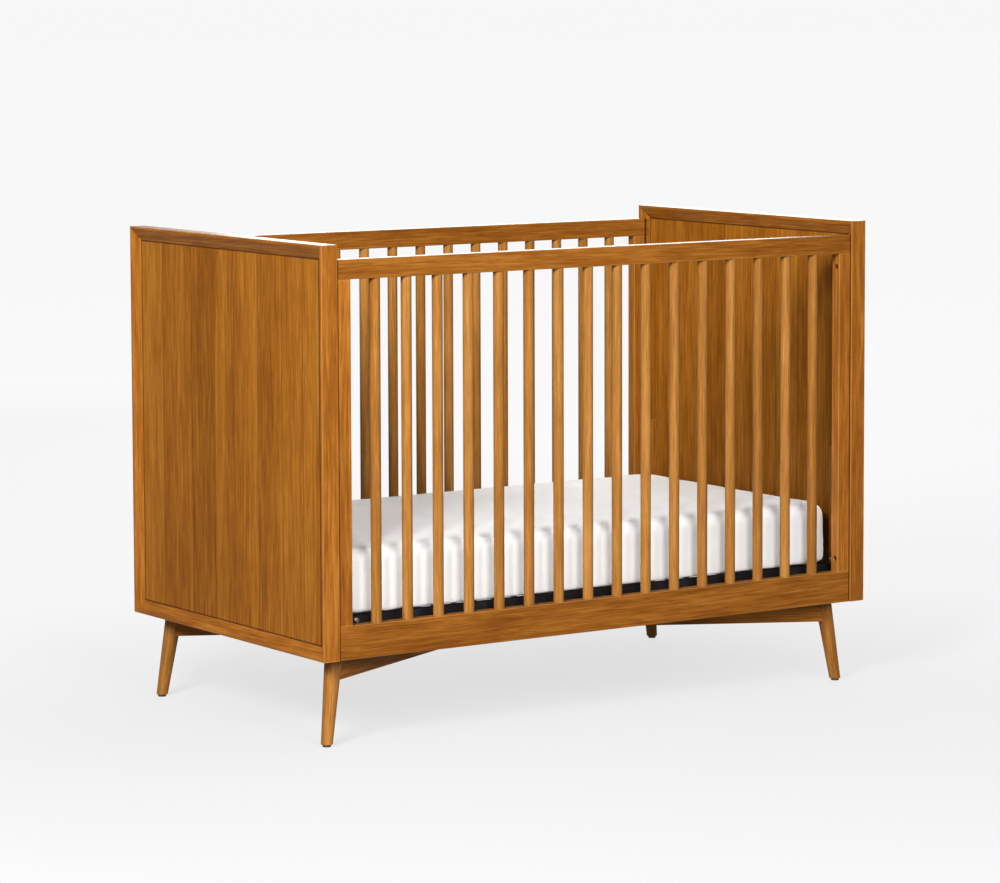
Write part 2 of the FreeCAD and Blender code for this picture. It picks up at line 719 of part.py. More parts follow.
LEG_X = "(Dims.length / 2 - Dims.leg_inset_long)"
LEG_Y = "(Dims.depth / 2 - Dims.leg_inset_deep)"
FOOT_X = "(Dims.length / 2 - Dims.foot_inset_long)"
FOOT_Y = "(Dims.depth / 2 - Dims.foot_inset_deep)"
LEG_HIGH = "(Dims.body_base - Dims.glide_high)"
LEG_RUN = f"sqrt(({FOOT_X} - {LEG_X}) ^ 2 + ({FOOT_Y} - {LEG_Y}) ^ 2 + {LEG_HIGH} ^ 2)"
LEG_TAPER = f"((Dims.leg_top_dia - Dims.leg_foot_dia) / 2 / {LEG_RUN})"
LEG_OVER = 12  # the leg's cone runs this far past both of its level cuts
BLOCK_X = f"({END_INNER} + Dims.bevel_deep)"


def leg_line(end, side):
    """Foot centre, top centre and direction of a leg's axis."""
    foot = point(f"{end} * {FOOT_X}", f"{side} * {FOOT_Y}", "Dims.glide_high")
    top = point(f"{end} * {LEG_X}", f"{side} * {LEG_Y}", "Dims.body_base")
    return foot, top, (top - foot).normalize()


def leg_cone(name, end, side, grow="0"):
    foot, _, direction = leg_line(end, side)
    cone = doc.addObject("Part::Cone", name)
    cone.setExpression("Radius1", f"Dims.leg_foot_dia / 2 - {LEG_OVER} * {LEG_TAPER} + {grow}")
    cone.setExpression("Radius2", f"Dims.leg_top_dia / 2 + {LEG_OVER} * {LEG_TAPER} + {grow}")
    cone.setExpression("Height", f"{LEG_RUN} + 2 * {LEG_OVER}")
    cone.Placement = FreeCAD.Placement(foot - direction * LEG_OVER, aim(direction))
    return cone


def leg_bolt_rod(name, end, side, play):
    _, top, direction = leg_line(end, side)
    start = f"(Dims.leg_bolt_long - Dims.leg_bolt_rise + {play})"
    bolt = rod(name, f"Dims.leg_bolt_dia / 2 + {play}", f"Dims.leg_bolt_long + 2 * {play}")
    bolt.setExpression("Placement.Base.x", None)
    bolt.setExpression("Placement.Base.y", None)
    bolt.setExpression("Placement.Base.z", None)
    bolt.Placement = FreeCAD.Placement(top - direction * measure(start), aim(direction))
    return bolt


def make_leg(name, end, side):
    """Tapered leg, cut level at the body and at the foot."""
    cone = leg_cone(f"{name}_cone", end, side)
    wide = "4 * Dims.leg_top_dia"
    x, y = f"{end} * {FOOT_X}", f"{side} * {FOOT_Y}"
    room = block(f"{name}_room", wide, wide, LEG_HIGH, x, y, "Dims.glide_high")
    level = doc.addObject("Part::Common", f"{name}_level")
    level.Base = cone
    level.Tool = room
    doc.recompute()
    foot_edges = [
        number
        for number, edge in enumerate(level.Shape.Edges, start=1)
        if edge.BoundBox.ZMax - measure("Dims.glide_high") < 0.01
    ]
    eased = doc.addObject("Part::Chamfer", f"{name}_eased")
    eased.Base = level
    ease = measure("Dims.leg_chamfer")
    eased.Edges = [(number, ease, ease) for number in foot_edges]
    doc.recompute()
    seat = rod(
        f"{name}_glide_seat",
        "Dims.glide_pin_dia / 2 + Dims.thread_gap",
        f"Dims.glide_pin_long + Dims.glue_gap + {OVER}",
        x,
        y,
        f"Dims.glide_high - {OVER}",
    )
    bolt_seat = leg_bolt_rod(f"{name}_bolt_seat", end, side, "Dims.thread_gap")
    keep(name, cut(f"{name}_drilled", eased, [seat, bolt_seat]))


def glide(end, side):
    x, y = f"{end} * {FOOT_X}", f"{side} * {FOOT_Y}"
    disc = rod("glide_disc", "Dims.glide_dia / 2", "Dims.glide_high", x, y, 0)
    pin_long = "Dims.glide_high + Dims.glide_pin_long"
    pin = rod("glide_pin", "Dims.glide_pin_dia / 2", pin_long, x, y, 0)
    return fuse("glide", [disc, pin])


def beam_angle(slope):
    return slope * math.degrees(math.atan2(measure(LEG_Y), measure(LEG_X)))


def beam_box(name, slope, base, high, play="0"):
    """Box along one diagonal of the base, centred on the crib's middle."""
    long = f"(2 * sqrt({LEG_X} ^ 2 + {LEG_Y} ^ 2) + Dims.leg_foot_dia / 4)"
    wide = f"(Dims.beam_thick + 2 * {play})"
    box = block(name, long, wide, high, z=base)
    for axis in "xy":
        box.setExpression(f"Placement.Base.{axis}", None)
    turn = FreeCAD.Rotation(UP, beam_angle(slope))
    corner = turn.multVec(FreeCAD.Vector(-measure(long) / 2, -measure(wide) / 2, 0))
    box.Placement = FreeCAD.Placement(corner + UP * measure(base), turn)
    box.setExpression("Placement.Base.z", base)
    return box


def beam_bolt_point(end, side, level):
    run = f"sqrt({LEG_X} ^ 2 + {LEG_Y} ^ 2)"
    share = f"(1 - Dims.beam_bolt_inset / {run})"
    return f"{end} * {LEG_X} * {share}", f"{side} * {LEG_Y} * {share}", level


BEAM_BASE = "(Dims.body_base - Dims.beam_deep)"


def beam_bolt_seats(end, side):
    """Recess in the beam's underside, through hole, and insert seat in the block."""
    x, y, _ = beam_bolt_point(end, side, "0")
    recess = rod("recess", HEAD_HOLE, f"Dims.beam_counterbore + {OVER}", x, y, f"{BEAM_BASE} - {OVER}")
    through = rod("through", BOLT_HOLE, f"Dims.beam_deep + {OVER}", x, y, BEAM_BASE)
    seat_long = f"Dims.block_high / 2 + Dims.insert_long / 2 + {OVER}"
    seat = rod("insert_seat", INSERT_SEAT, seat_long, x, y, f"Dims.body_base - {OVER}")
    return [recess, through], [seat]


def make_beam(name, slope, notch_base):
    """Base beam, coped to its two legs and halved where the beams cross."""
    box = beam_box(f"{name}_box", slope, BEAM_BASE, "Dims.beam_deep")
    half = f"(Dims.beam_deep / 2 + Dims.glue_gap / 2 + {OVER})"
    tools = [beam_box(f"{name}_notch", -slope, notch_base, half, "Dims.glue_gap")]
    for end in ENDS.values():
        side = end * slope
        tools.append(leg_cone(f"{name}_cope", end, side, "Dims.cope_gap"))
        tools += beam_bolt_seats(end, side)[0]
    keep(name, cut(f"{name}_cut", box, tools))


def block_side_screws(end):
    """Places across the block of its two screws into the side rail."""
    half = "Dims.block_screw_spread / 2"
    return [f"{end} * ({LEG_X} - {half})", f"{end} * ({LEG_X} + {half})"]


def block_screw_seats(side):
    seats = []
    direction = FreeCAD.Vector(0, side, 0)
    bite = "(Dims.block_screw_bite + Dims.glue_gap)"
    for end in ENDS.values():
        for x in block_side_screws(end):
            y = f"{side} * ({SIDE_INNER} - {OVER})"
            z = "Dims.body_base + Dims.block_screw_lift"
            seats.append(rod("pilot", SCREW_HOLE, f"{bite} + {OVER}", x, y, z, direction))
    return seats


def make_corner_block(name, end, side):
    """Block in the corner over a leg: it joins leg and beam to the side's bottom rail."""
    body = new_body(f"{name}_wood")
    profile = new_sketch(body, "XZ_Plane")
    low, high = "Dims.body_base", "(Dims.body_base + Dims.block_high)"
    near = f"{end} * ({BLOCK_X} - Dims.block_long)"
    slope = "(Dims.block_high - Dims.rim_wide) / (Dims.frame_wide - Dims.rim_wide)"
    tip = f"{end} * ({END_INNER} + Dims.bevel_deep * min(1; {slope}))"
    rim = f"{end} * {END_INNER}"
    corners = [(near, low), (rim, low), (rim, f"{low} + Dims.rim_wide"), (tip, high), (near, high)]
    draw_outline(profile, corners)
    pad(body, profile, "Dims.block_deep", symmetric=True)
    place(body, 0, f"{side} * ({SIDE_INNER} - Dims.block_deep / 2)", 0)
    tools = [leg_bolt_rod(f"{name}_bolt_seat", end, side, "Dims.thread_gap")]
    tools += beam_bolt_seats(end, side)[1]
    direction = FreeCAD.Vector(0, side, 0)
    grip = "(Dims.block_screw_long - Dims.block_screw_bite)"
    for x in block_side_screws(end):
        z = "Dims.body_base + Dims.block_screw_lift"
        start = f"({SIDE_INNER} - Dims.block_deep - {OVER})"
        head_deep = f"Dims.block_deep - {grip} + (Dims.screw_head_dia - Dims.screw_dia) / 2 + {OVER}"
        y = f"{side} * {start}"
        head_room = "Dims.screw_head_dia / 2 + Dims.hole_gap"
        tools.append(rod("head_room", head_room, head_deep, x, y, z, direction))
        long = f"Dims.block_deep + {2 * OVER}"
        tools.append(rod("screw_hole", SCREW_HOLE, long, x, y, z, direction))
    keep(name, cut(f"{name}_drilled", body, tools))
    x, y, z = beam_bolt_point(end, side, "Dims.body_base + (Dims.block_high - Dims.insert_long) / 2")
    insert_places.append(FreeCAD.Placement(point(x, y, z), aim(UP)))


# cleats of the support


def setting_levels():
    """Heights of every hanger bolt hole in a cleat."""
    levels = []
    for step in range(int(measure("Dims.setting_count"))):
        for base in (LOWER_BOLT, UPPER_BOLT):
            levels.append(f"({base} + {step} * Dims.setting_step)")
    return levels


def make_cleat(name, end, side):
    wood = block(
        f"{name}_wood",
        "Dims.cleat_thick",
        "Dims.cleat_wide",
        "Dims.cleat_long",
        f"{end} * ({PANEL_FACE} - Dims.cleat_thick / 2)",
        f"{side} * {CLEAT_MIDDLE}",
        CLEAT_BASE,
    )
    y = f"{side} * {CLEAT_MIDDLE}"
    outward = FreeCAD.Vector(end, 0, 0)
    start = f"{end} * ({CLEAT_FACE} - {OVER})"
    tools = []
    for level in setting_levels():
        long = f"Dims.insert_long + Dims.glue_gap + {OVER}"
        tools.append(rod("insert_seat", INSERT_SEAT, long, start, y, level, outward))
        seat = point(f"{end} * {CLEAT_FACE}", y, level)
        insert_places.append(FreeCAD.Placement(seat, aim(outward)))
    head_deep = "(Dims.screw_head_dia - Dims.screw_dia) / 2"
    for level in cleat_screw_levels():
        long = f"Dims.cleat_thick + {2 * OVER}"
        tools.append(rod("screw_hole", SCREW_HOLE, long, start, y, level, outward))
        sink = doc.addObject("Part::Cone", "countersink")
        sink.setExpression("Radius1", "Dims.screw_head_dia / 2 + Dims.hole_gap")
        sink.setExpression("Radius2", "Dims.screw_dia / 2 + Dims.hole_gap")
        sink.setExpression("Height", head_deep)
        sink.Placement.Rotation = aim(outward)
        tools.append(place(sink, f"{end} * {CLEAT_FACE}", y, level))
    keep(name, cut(f"{name}_drilled", wood, tools))


# the mattress support


def deck_tube(name, long, turn, x, y):
    """Square tube along X before its turn, mitred at both ends."""
    body = new_body(name)
    section = new_sketch(body, "XY_Plane")
    half_long, wide = f"({long}) / 2", "Dims.tube_wide"
    corners = [(f"-{half_long}", "0"), (half_long, "0")]
    corners += [(f"{half_long} - {wide}", wide), (f"-({half_long} - {wide})", wide)]
    draw_outline(section, corners)
    pad(body, section, wide)
    hollow = new_sketch(body, "YZ_Plane")
    wall = "Dims.tube_wall"
    draw_rectangle(hollow, wall, f"{wide} - {wall}", wall, f"{wide} - {wall}")
    cut_through(body, hollow)
    body.Placement.Rotation = FreeCAD.Rotation(UP, turn)
    return place(body, x, y, TUBE_BASE)


def deck_wires(name, count_span, half_reach, along_x, lift):
    """Parallel wires between two tubes, evenly spread."""
    span = measure(count_span)
    spaces = math.ceil(span / measure("Dims.wire_pitch"))
    wires = []
    for index in range(1, spaces):
        across = f"({count_span}) * ({index} / {spaces} - 0.5)"
        start = f"-({half_reach})"
        x, y = (start, across) if along_x else (across, start)
        direction = EYE if along_x else AWAY
        radius, long = "Dims.wire_dia / 2", f"2 * ({half_reach})"
        wires.append(rod(f"{name}_wire", radius, long, x, y, lift, direction))
    return group(name, wires)


BRACE_X = f"({DECK_HALF_LONG} - Dims.brace_inset)"
BRACE_HOLE = "Dims.brace_bolt_dia / 2 + Dims.hole_gap"


def make_braces():
    """Two flat braces under the deck, each bolted to the long tubes."""
    inner = f"({DECK_HALF_DEEP} - Dims.tube_wide)"
    strap_z = TUBE_BASE
    ear_top = f"({DECK_TOP} - Dims.wire_drop - Dims.wire_dia - Dims.ear_gap)"
    bolt_z = f"({TUBE_BASE} + Dims.tube_wide / 2)"
    ear_high = f"({ear_top} - {strap_z})"
    thick = "Dims.brace_thick"
    braces, bolts, nuts = [], [], []
    for end in ENDS.values():
        x = f"{end} * {BRACE_X}"
        strap = block("brace_strap", "Dims.brace_wide", f"2 * {inner}", thick, x, 0, strap_z)
        ears, holes = [], []
        for side in SIDES.values():
            inward = FreeCAD.Vector(0, -side, 0)
            ear_y = f"{side} * ({inner} - {thick} / 2)"
            ears.append(block("brace_ear", "Dims.brace_wide", thick, ear_high, x, ear_y, strap_z))
            y = f"{side} * ({DECK_HALF_DEEP} + {OVER})"
            long = f"Dims.tube_wide + {thick} + {2 * OVER}"
            holes.append(rod("brace_hole", BRACE_HOLE, long, x, y, bolt_z, inward))
            bolts.append(brace_bolt(x, side, bolt_z, inward))
            nuts.append(brace_nut(x, f"{side} * ({inner} - {thick})", bolt_z, inward))
        braces.append(cut("brace", fuse("brace_blank", [strap] + ears), holes))
    return braces, bolts, nuts


def brace_bolt(x, side, z, inward):
    """Domed bolt through a long tube and a brace's ear."""
    surface = f"{side} * {DECK_HALF_DEEP}"
    shank_long = "Dims.tube_wide + Dims.brace_thick + Dims.brace_nut_high + Dims.brace_bolt_over"
    shank = rod("brace_shank", "Dims.brace_bolt_dia / 2", shank_long, x, surface, z, inward)
    flange = rod("brace_flange", "Dims.brace_head_dia / 2", "Dims.brace_head_rim", x, surface, z, inward * -1)
    dome = doc.addObject("Part::Cone", "brace_dome")
    dome.setExpression("Radius1", "Dims.brace_head_dia / 2")
    dome.setExpression("Radius2", "Dims.brace_head_dia / 4")
    dome.setExpression("Height", "Dims.brace_head_high - Dims.brace_head_rim")
    dome.Placement.Rotation = aim(inward * -1)
    place(dome, x, f"{surface} + {side} * Dims.brace_head_rim", z)
    return fuse("brace_bolt", [shank, flange, dome])


def brace_nut(x, y, z, inward):
    """Hexagon nut against a brace's ear."""
    blank = doc.addObject("Part::Prism", "brace_nut_blank")
    blank.Polygon = 6
    blank.setExpression("Circumradius", "Dims.brace_nut_size / sqrt(3)")
    blank.setExpression("Height", "Dims.brace_nut_high")
    blank.Placement.Rotation = aim(inward)
    place(blank, x, y, z)
    radius = "Dims.brace_bolt_dia / 2 + Dims.thread_gap"
    bore = rod("brace_nut_bore", radius, "Dims.brace_nut_high", x, y, z, inward)
    return cut("brace_nut", blank, [bore])


def tube_bolt_holes(side):
    holes = []
    for end in ENDS.values():
        x = f"{end} * {BRACE_X}"
        y = f"{side} * ({DECK_HALF_DEEP} + {OVER})"
        z = f"({TUBE_BASE} + Dims.tube_wide / 2)"
        long = f"Dims.tube_wide + {2 * OVER}"
        direction = FreeCAD.Vector(0, -side, 0)
        holes.append(rod("tube_hole", BRACE_HOLE, long, x, y, z, direction))
    return holes


def make_hanger(name, end, side):
    """Plate on the end of the deck whose fork hooks down over the two cleat bolts."""
    body = new_body(f"{name}_plate")
    face = new_sketch(body, "YZ_Plane")
    fork_in = f"({CLEAT_MIDDLE} - Dims.hanger_wide / 2)"
    fork_out = f"({CLEAT_MIDDLE} + Dims.hanger_wide / 2)"
    foot_in = f"({DECK_HALF_DEEP} - Dims.hanger_foot)"
    base, top = f"({LOWER_BOLT} - Dims.hanger_end)", f"({UPPER_BOLT} + Dims.hanger_end)"
    outline = [(foot_in, TUBE_BASE), (fork_in, TUBE_BASE), (fork_in, base), (fork_out, base)]
    outline += [(fork_out, top), (fork_in, top), (fork_in, DECK_TOP), (foot_in, DECK_TOP)]
    draw_outline(face, [(f"{side} * {across}", up) for across, up in outline])
    pad(body, face, "Dims.hanger_thick", symmetric=True)
    place(body, f"{end} * ({DECK_HALF_LONG} + Dims.hanger_thick / 2)", 0, 0)
    radius = "(Dims.bolt_dia / 2 + Dims.slot_gap)"
    start = f"{end} * ({DECK_HALF_LONG} - {OVER})"
    long = f"Dims.hanger_thick + {2 * OVER}"
    y = f"{side} * {CLEAT_MIDDLE}"
    crown = rod("slot_crown", radius, long, start, y, UPPER_BOLT, FreeCAD.Vector(end, 0, 0))
    slot_high = f"(Dims.bolt_pair + Dims.hanger_end + {OVER})"
    middle = f"{end} * ({DECK_HALF_LONG} + Dims.hanger_thick / 2)"
    slot = block("slot", long, f"2 * {radius}", slot_high, middle, y, f"{base} - {OVER}")
    keep(name, cut(f"{name}_slotted", body, [crown, slot]))


def make_mattress():
    body = new_body("mattress_foam")
    plan = new_sketch(body, "XY_Plane")
    half_long = f"({END_INNER} - Dims.mattress_end_play)"
    half_deep = f"({SIDE_INNER} - Dims.mattress_play)"
    draw_rectangle(plan, f"-{half_long}", half_long, f"-{half_deep}", half_deep)
    blank = pad(body, plan, "Dims.mattress_thick")
    corners = round_edges(body, blank, long_edges(blank.Shape, UP), "Dims.mattress_corner")
    faces = corners.Shape.Faces
    rims = [
        f"Edge{number}"
        for number, edge in enumerate(corners.Shape.Edges, start=1)
        if edge.BoundBox.ZLength < 0.01
    ]
    if len(faces) < 10:
        raise RuntimeError("the mattress has lost its rounded corners")
    round_edges(body, corners, rims, "Dims.mattress_edge")
    return place(body, 0, 0, f"{DECK_TOP} + Dims.rest_gap")


# assembly

mitre_rods = []
for end_name, end in ENDS.items():
    mitre_rods += make_end(end_name, end)
keep("mitre_dowels", group("mitre_dowel_set", mitre_rods))

side_rods = []
for side_name, side in SIDES.items():
    side_rods += make_side(side_name, side)
keep("stile_dowels", group("stile_dowel_set", side_rods))

side_shank = "Dims.insert_sink + Dims.insert_long + Dims.stile_wide - Dims.counterbore_deep"
side_bolt = socket_bolt("side_bolt_master", side_shank)
side_bolt_places = []
support_bolt = socket_bolt("support_bolt_master", "Dims.insert_long + Dims.hanger_thick")
support_bolt_places = []
cleat_screw = wood_screw("cleat_screw_master", "Dims.screw_long")
cleat_screw_places = []
beam_grip = "Dims.beam_deep - Dims.beam_counterbore + (Dims.block_high + Dims.insert_long) / 2"
beam_bolt_master = socket_bolt("beam_bolt_master", beam_grip)
beam_bolt_places = []
block_screw = wood_screw("block_screw_master", "Dims.block_screw_long")
block_screw_places = []
glides = []
leg_bolts = []

for end_name, end in ENDS.items():
    outward = aim(FreeCAD.Vector(end, 0, 0))
    for side_name, side in SIDES.items():
        corner = f"{side_name}_{end_name}"
        for level in side_bolt_levels():
            seat = f"{end} * ({STILE_INNER} + Dims.counterbore_deep)"
            spot = point(seat, f"{side} * {BOLT_LINE}", level)
            side_bolt_places.append(FreeCAD.Placement(spot, outward))
        make_cleat(f"{corner}_cleat", end, side)
        for level in cleat_screw_levels():
            spot = point(f"{end} * {CLEAT_FACE}", f"{side} * {CLEAT_MIDDLE}", level)
            cleat_screw_places.append(FreeCAD.Placement(spot, outward))
        for level in (LOWER_BOLT, UPPER_BOLT):
            seat = f"{end} * ({DECK_HALF_LONG} - Dims.slide_gap)"
            spot = point(seat, f"{side} * {CLEAT_MIDDLE}", level)
            support_bolt_places.append(FreeCAD.Placement(spot, outward))
        make_leg(f"{corner}_leg", end, side)
        make_corner_block(f"{corner}_corner_block", end, side)
        leg_bolts.append(leg_bolt_rod("leg_bolt", end, side, "0"))
        glides.append(glide(end, side))
        head_level = f"{BEAM_BASE} + Dims.beam_counterbore"
        beam_bolt_places.append(
            FreeCAD.Placement(point(*beam_bolt_point(end, side, head_level)), aim(UP))
        )
        grip = "(Dims.block_screw_long - Dims.block_screw_bite)"
        for x in block_side_screws(end):
            z = "Dims.body_base + Dims.block_screw_lift"
            spot = point(x, f"{side} * ({SIDE_INNER} - {grip})", z)
            block_screw_places.append(FreeCAD.Placement(spot, aim(FreeCAD.Vector(0, side, 0))))
        make_hanger(f"{corner}_hanger", end, side)

make_beam("beam_front_left_to_back_right", 1, "Dims.body_base - Dims.beam_deep / 2 - Dims.glue_gap / 2")
make_beam("beam_front_right_to_back_left", -1, f"{BEAM_BASE} - {OVER}")

keep("side_bolts", set_of("side_bolt_set", side_bolt, side_bolt_places))
keep("support_bolts", set_of("support_bolt_set", support_bolt, support_bolt_places))
keep("cleat_screws", set_of("cleat_screw_set", cleat_screw, cleat_screw_places))
keep("beam_bolts", set_of("beam_bolt_set", beam_bolt_master, beam_bolt_places))
keep("block_screws", set_of("block_screw_set", block_screw, block_screw_places))
keep("threaded_inserts", set_of("insert_set", insert_master, insert_places))
keep("leg_bolts", group("leg_bolt_set", leg_bolts))
keep("foot_glides", group("glide_set", glides))

deck_long, deck_deep = f"2 * {DECK_HALF_LONG}", f"2 * {DECK_HALF_DEEP}"
for side_name, side, turn in (("front", -1, 0), ("back", 1, 180)):
    name = f"support_{side_name}_tube"
    tube = deck_tube(f"{name}_steel", deck_long, turn, 0, f"{side} * {DECK_HALF_DEEP}")
    keep(name, cut(f"{name}_drilled", tube, tube_bolt_holes(side)))
for end_name, end, turn in (("left", -1, -90), ("right", 1, 90)):
    name = f"support_{end_name}_tube"
    keep(name, deck_tube(f"{name}_steel", deck_deep, turn, f"{end} * {DECK_HALF_LONG}", 0))

wire_top = f"({DECK_TOP} - Dims.wire_drop - Dims.wire_dia / 2)"
wire_low = f"({wire_top} - Dims.wire_dia - Dims.thread_gap)"
reach_long = f"{DECK_HALF_LONG} - Dims.tube_wide"
reach_deep = f"{DECK_HALF_DEEP} - Dims.tube_wide"
cross_wires = deck_wires("cross_wire_set", f"2 * ({reach_long})", reach_deep, False, wire_top)
keep("support_cross_wires", cross_wires)
long_wires = deck_wires("long_wire_set", f"2 * ({reach_deep})", reach_long, True, wire_low)
keep("support_long_wires", long_wires)
braces, brace_bolts, brace_nuts = make_braces()
keep("support_braces", group("brace_set", braces))
keep("support_brace_bolts", group("brace_bolt_set", brace_bolts))
keep("support_brace_nuts", group("brace_nut_set", brace_nuts))

keep("mattress", make_mattress())

# checks and export

doc.recompute()
for item in doc.Objects:
    if "Invalid" in item.State or "Error" in item.State:
        raise RuntimeError(f"{item.Name} failed to compute: {item.State}")
for label, piece in nodes.items():
    if piece.Shape.isNull() or not piece.Shape.isValid() or not piece.Shape.Solids:
        raise RuntimeError(f"{label} has no valid solid")

os.makedirs("parts", exist_ok=True)
for label, piece in nodes.items():
    piece.Shape.exportStep(os.path.join("parts", f"{label}.step"))

print(f"{len(nodes)} nodes, {sum(len(piece.Shape.Solids) for piece in nodes.values())} solids")
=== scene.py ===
import math

import bmesh
import bpy
from mathutils import Matrix, Vector, noise
from mathutils.bvhtree import BVHTree


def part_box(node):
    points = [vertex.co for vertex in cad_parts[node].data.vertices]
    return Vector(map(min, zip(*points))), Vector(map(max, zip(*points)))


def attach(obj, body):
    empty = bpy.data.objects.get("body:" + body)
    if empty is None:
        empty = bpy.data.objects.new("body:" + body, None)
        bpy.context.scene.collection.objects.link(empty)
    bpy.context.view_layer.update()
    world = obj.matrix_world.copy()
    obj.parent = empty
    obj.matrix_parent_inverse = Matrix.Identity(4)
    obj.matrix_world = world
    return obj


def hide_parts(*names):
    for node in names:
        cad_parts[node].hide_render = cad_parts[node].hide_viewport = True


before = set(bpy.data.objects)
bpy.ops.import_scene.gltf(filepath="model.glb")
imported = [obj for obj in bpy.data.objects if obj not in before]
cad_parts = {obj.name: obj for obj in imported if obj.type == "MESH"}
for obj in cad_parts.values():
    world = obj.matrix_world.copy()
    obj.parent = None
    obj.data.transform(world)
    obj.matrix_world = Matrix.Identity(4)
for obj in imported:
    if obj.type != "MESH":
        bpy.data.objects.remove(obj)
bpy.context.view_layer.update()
scene = bpy.context.scene
print("frame loaded:", len(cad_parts), "pieces")


# camera

cameraView = {
    "place": (-4.6106, -6.8087, 1.5054),
    "yaw": 0.595,
    "pitch": 0.091,
    "roll": -0.003,
    "lens": 138.05,
    "sensor": 36.0,
    "shiftUp": -0.1,
    "clip": (0.1, 200),
}


def makeCamera(view):
    yaw, pitch, roll = view["yaw"], view["pitch"], view["roll"]
    level = math.cos(pitch)
    ahead = Vector((math.sin(yaw) * level, math.cos(yaw) * level, -math.sin(pitch)))
    right = Vector((math.cos(yaw), -math.sin(yaw), 0))
    up = right.cross(ahead)
    rolledRight = right * math.cos(roll) + up * math.sin(roll)
    rolledUp = up * math.cos(roll) - right * math.sin(roll)
    lens = bpy.data.cameras.new("camera")
    lens.lens, lens.sensor_width, lens.shift_y = view["lens"], view["sensor"], view["shiftUp"]
    lens.clip_start, lens.clip_end = view["clip"]
    eye = bpy.data.objects.new("camera", lens)
    turn = Matrix((rolledRight, rolledUp, -ahead)).transposed().to_4x4()
    eye.matrix_world = Matrix.Translation(view["place"]) @ turn
    scene.collection.objects.link(eye)
    scene.camera = eye


makeCamera(cameraView)
scene.view_settings.view_transform = "Standard"
print("camera set")


# finishes: arithmetic on sockets, and one way to add any node

class Signal:
    def __init__(self, tree, socket):
        self.tree, self.socket = tree, socket

    def also(self, name):  # another output of the same node
        return Signal(self.tree, self.socket.node.outputs[name])

    def math(self, operation, first, second=0.0):
        node = self.tree.nodes.new("ShaderNodeMath")
        node.operation = operation
        plug(self.tree, node.inputs[0], first)
        plug(self.tree, node.inputs[1], second)
        return Signal(self.tree, node.outputs[0])

    def __add__(self, other):
        return self.math("ADD", self, other)

    def __radd__(self, other):
        return self.math("ADD", other, self)

    def __sub__(self, other):
        return self.math("SUBTRACT", self, other)

    def __rsub__(self, other):
        return self.math("SUBTRACT", other, self)

    def __mul__(self, other):
        return self.math("MULTIPLY", self, other)

    def __rmul__(self, other):
        return self.math("MULTIPLY", other, self)

    def __truediv__(self, other):
        return self.math("DIVIDE", self, other)

    def __abs__(self):
        return self.math("ABSOLUTE", self)

    def least(self, other):
        return self.math("MINIMUM", self, other)

    def most(self, other):
        return self.math("MAXIMUM", self, other)

    def floor(self):
        return self.math("FLOOR", self)

    def sine(self):
        return self.math("SINE", self)


def plug(tree, socket, value):
    if isinstance(value, Signal):
        tree.links.new(value.socket, socket)
    else:
        socket.default_value = value


class Finish:
    def __init__(self, name, **constants):
        self.material = bpy.data.materials.new(name)
        self.material.use_nodes = True
        self.tree = self.material.node_tree
        self.shader = self.tree.nodes["Principled BSDF"]
        for socket, value in constants.items():
            self.shader.inputs[socket.replace("_", " ")].default_value = value

    def add(self, kind, settings=None, output=0, **sockets):  # s0, s1: sockets by number
        node = self.tree.nodes.new("ShaderNode" + kind)
        for key, value in (settings or {}).items():
            setattr(node, key, value)
        for key, value in sockets.items():
            key = int(key[1:]) if key[1:].isdigit() else key.replace("_", " ")
            plug(self.tree, node.inputs[key], value)
        return Signal(self.tree, node.outputs[output])

    def objectPlace(self):
        return self.add("TexCoord", output="Object")

    def stretched(self, vector, scale):
        return self.add("VectorMath", {"operation": "MULTIPLY"}, s0=vector, s1=scale)

    def shifted(self, vector, offset):
        return self.add("VectorMath", {"operation": "ADD"}, s0=vector, s1=offset)

    def noise(self, vector, detail=2.0, roughness=0.5, scale=1.0):
        return self.add("TexNoise", Vector=vector, Scale=scale, Detail=detail, Roughness=roughness)

    def ramp(self, value, low, high, smooth=True):  # 0 below low, 1 above high
        kind = "SMOOTHSTEP" if smooth else "LINEAR"
        settings = {"interpolation_type": kind}
        return self.add("MapRange", settings, Value=value, From_Min=low, From_Max=high)

    def mix(self, factor, first, second, blend="MIX"):
        node = self.tree.nodes.new("ShaderNodeMix")
        node.data_type, node.blend_type = "RGBA", blend
        plug(self.tree, node.inputs["Factor"], factor)
        plug(self.tree, node.inputs["A"], opaque(first))
        plug(self.tree, node.inputs["B"], opaque(second))
        return Signal(self.tree, next(o for o in node.outputs if o.type == "RGBA"))

    def bump(self, height, strength, distance):
        return self.add("Bump", Height=height, Strength=strength, Distance=distance)

    def surface(self, **sockets):
        for key, value in sockets.items():
            plug(self.tree, self.shader.inputs[key.replace("_", " ")], value)
        return self.material


def opaque(tone):
    return tone if isinstance(tone, Signal) else (*tone, 1.0)


def spread(finish, vector):
    node = finish.add("SeparateXYZ", Vector=vector)
    return node, node.also("Y"), node.also("Z")


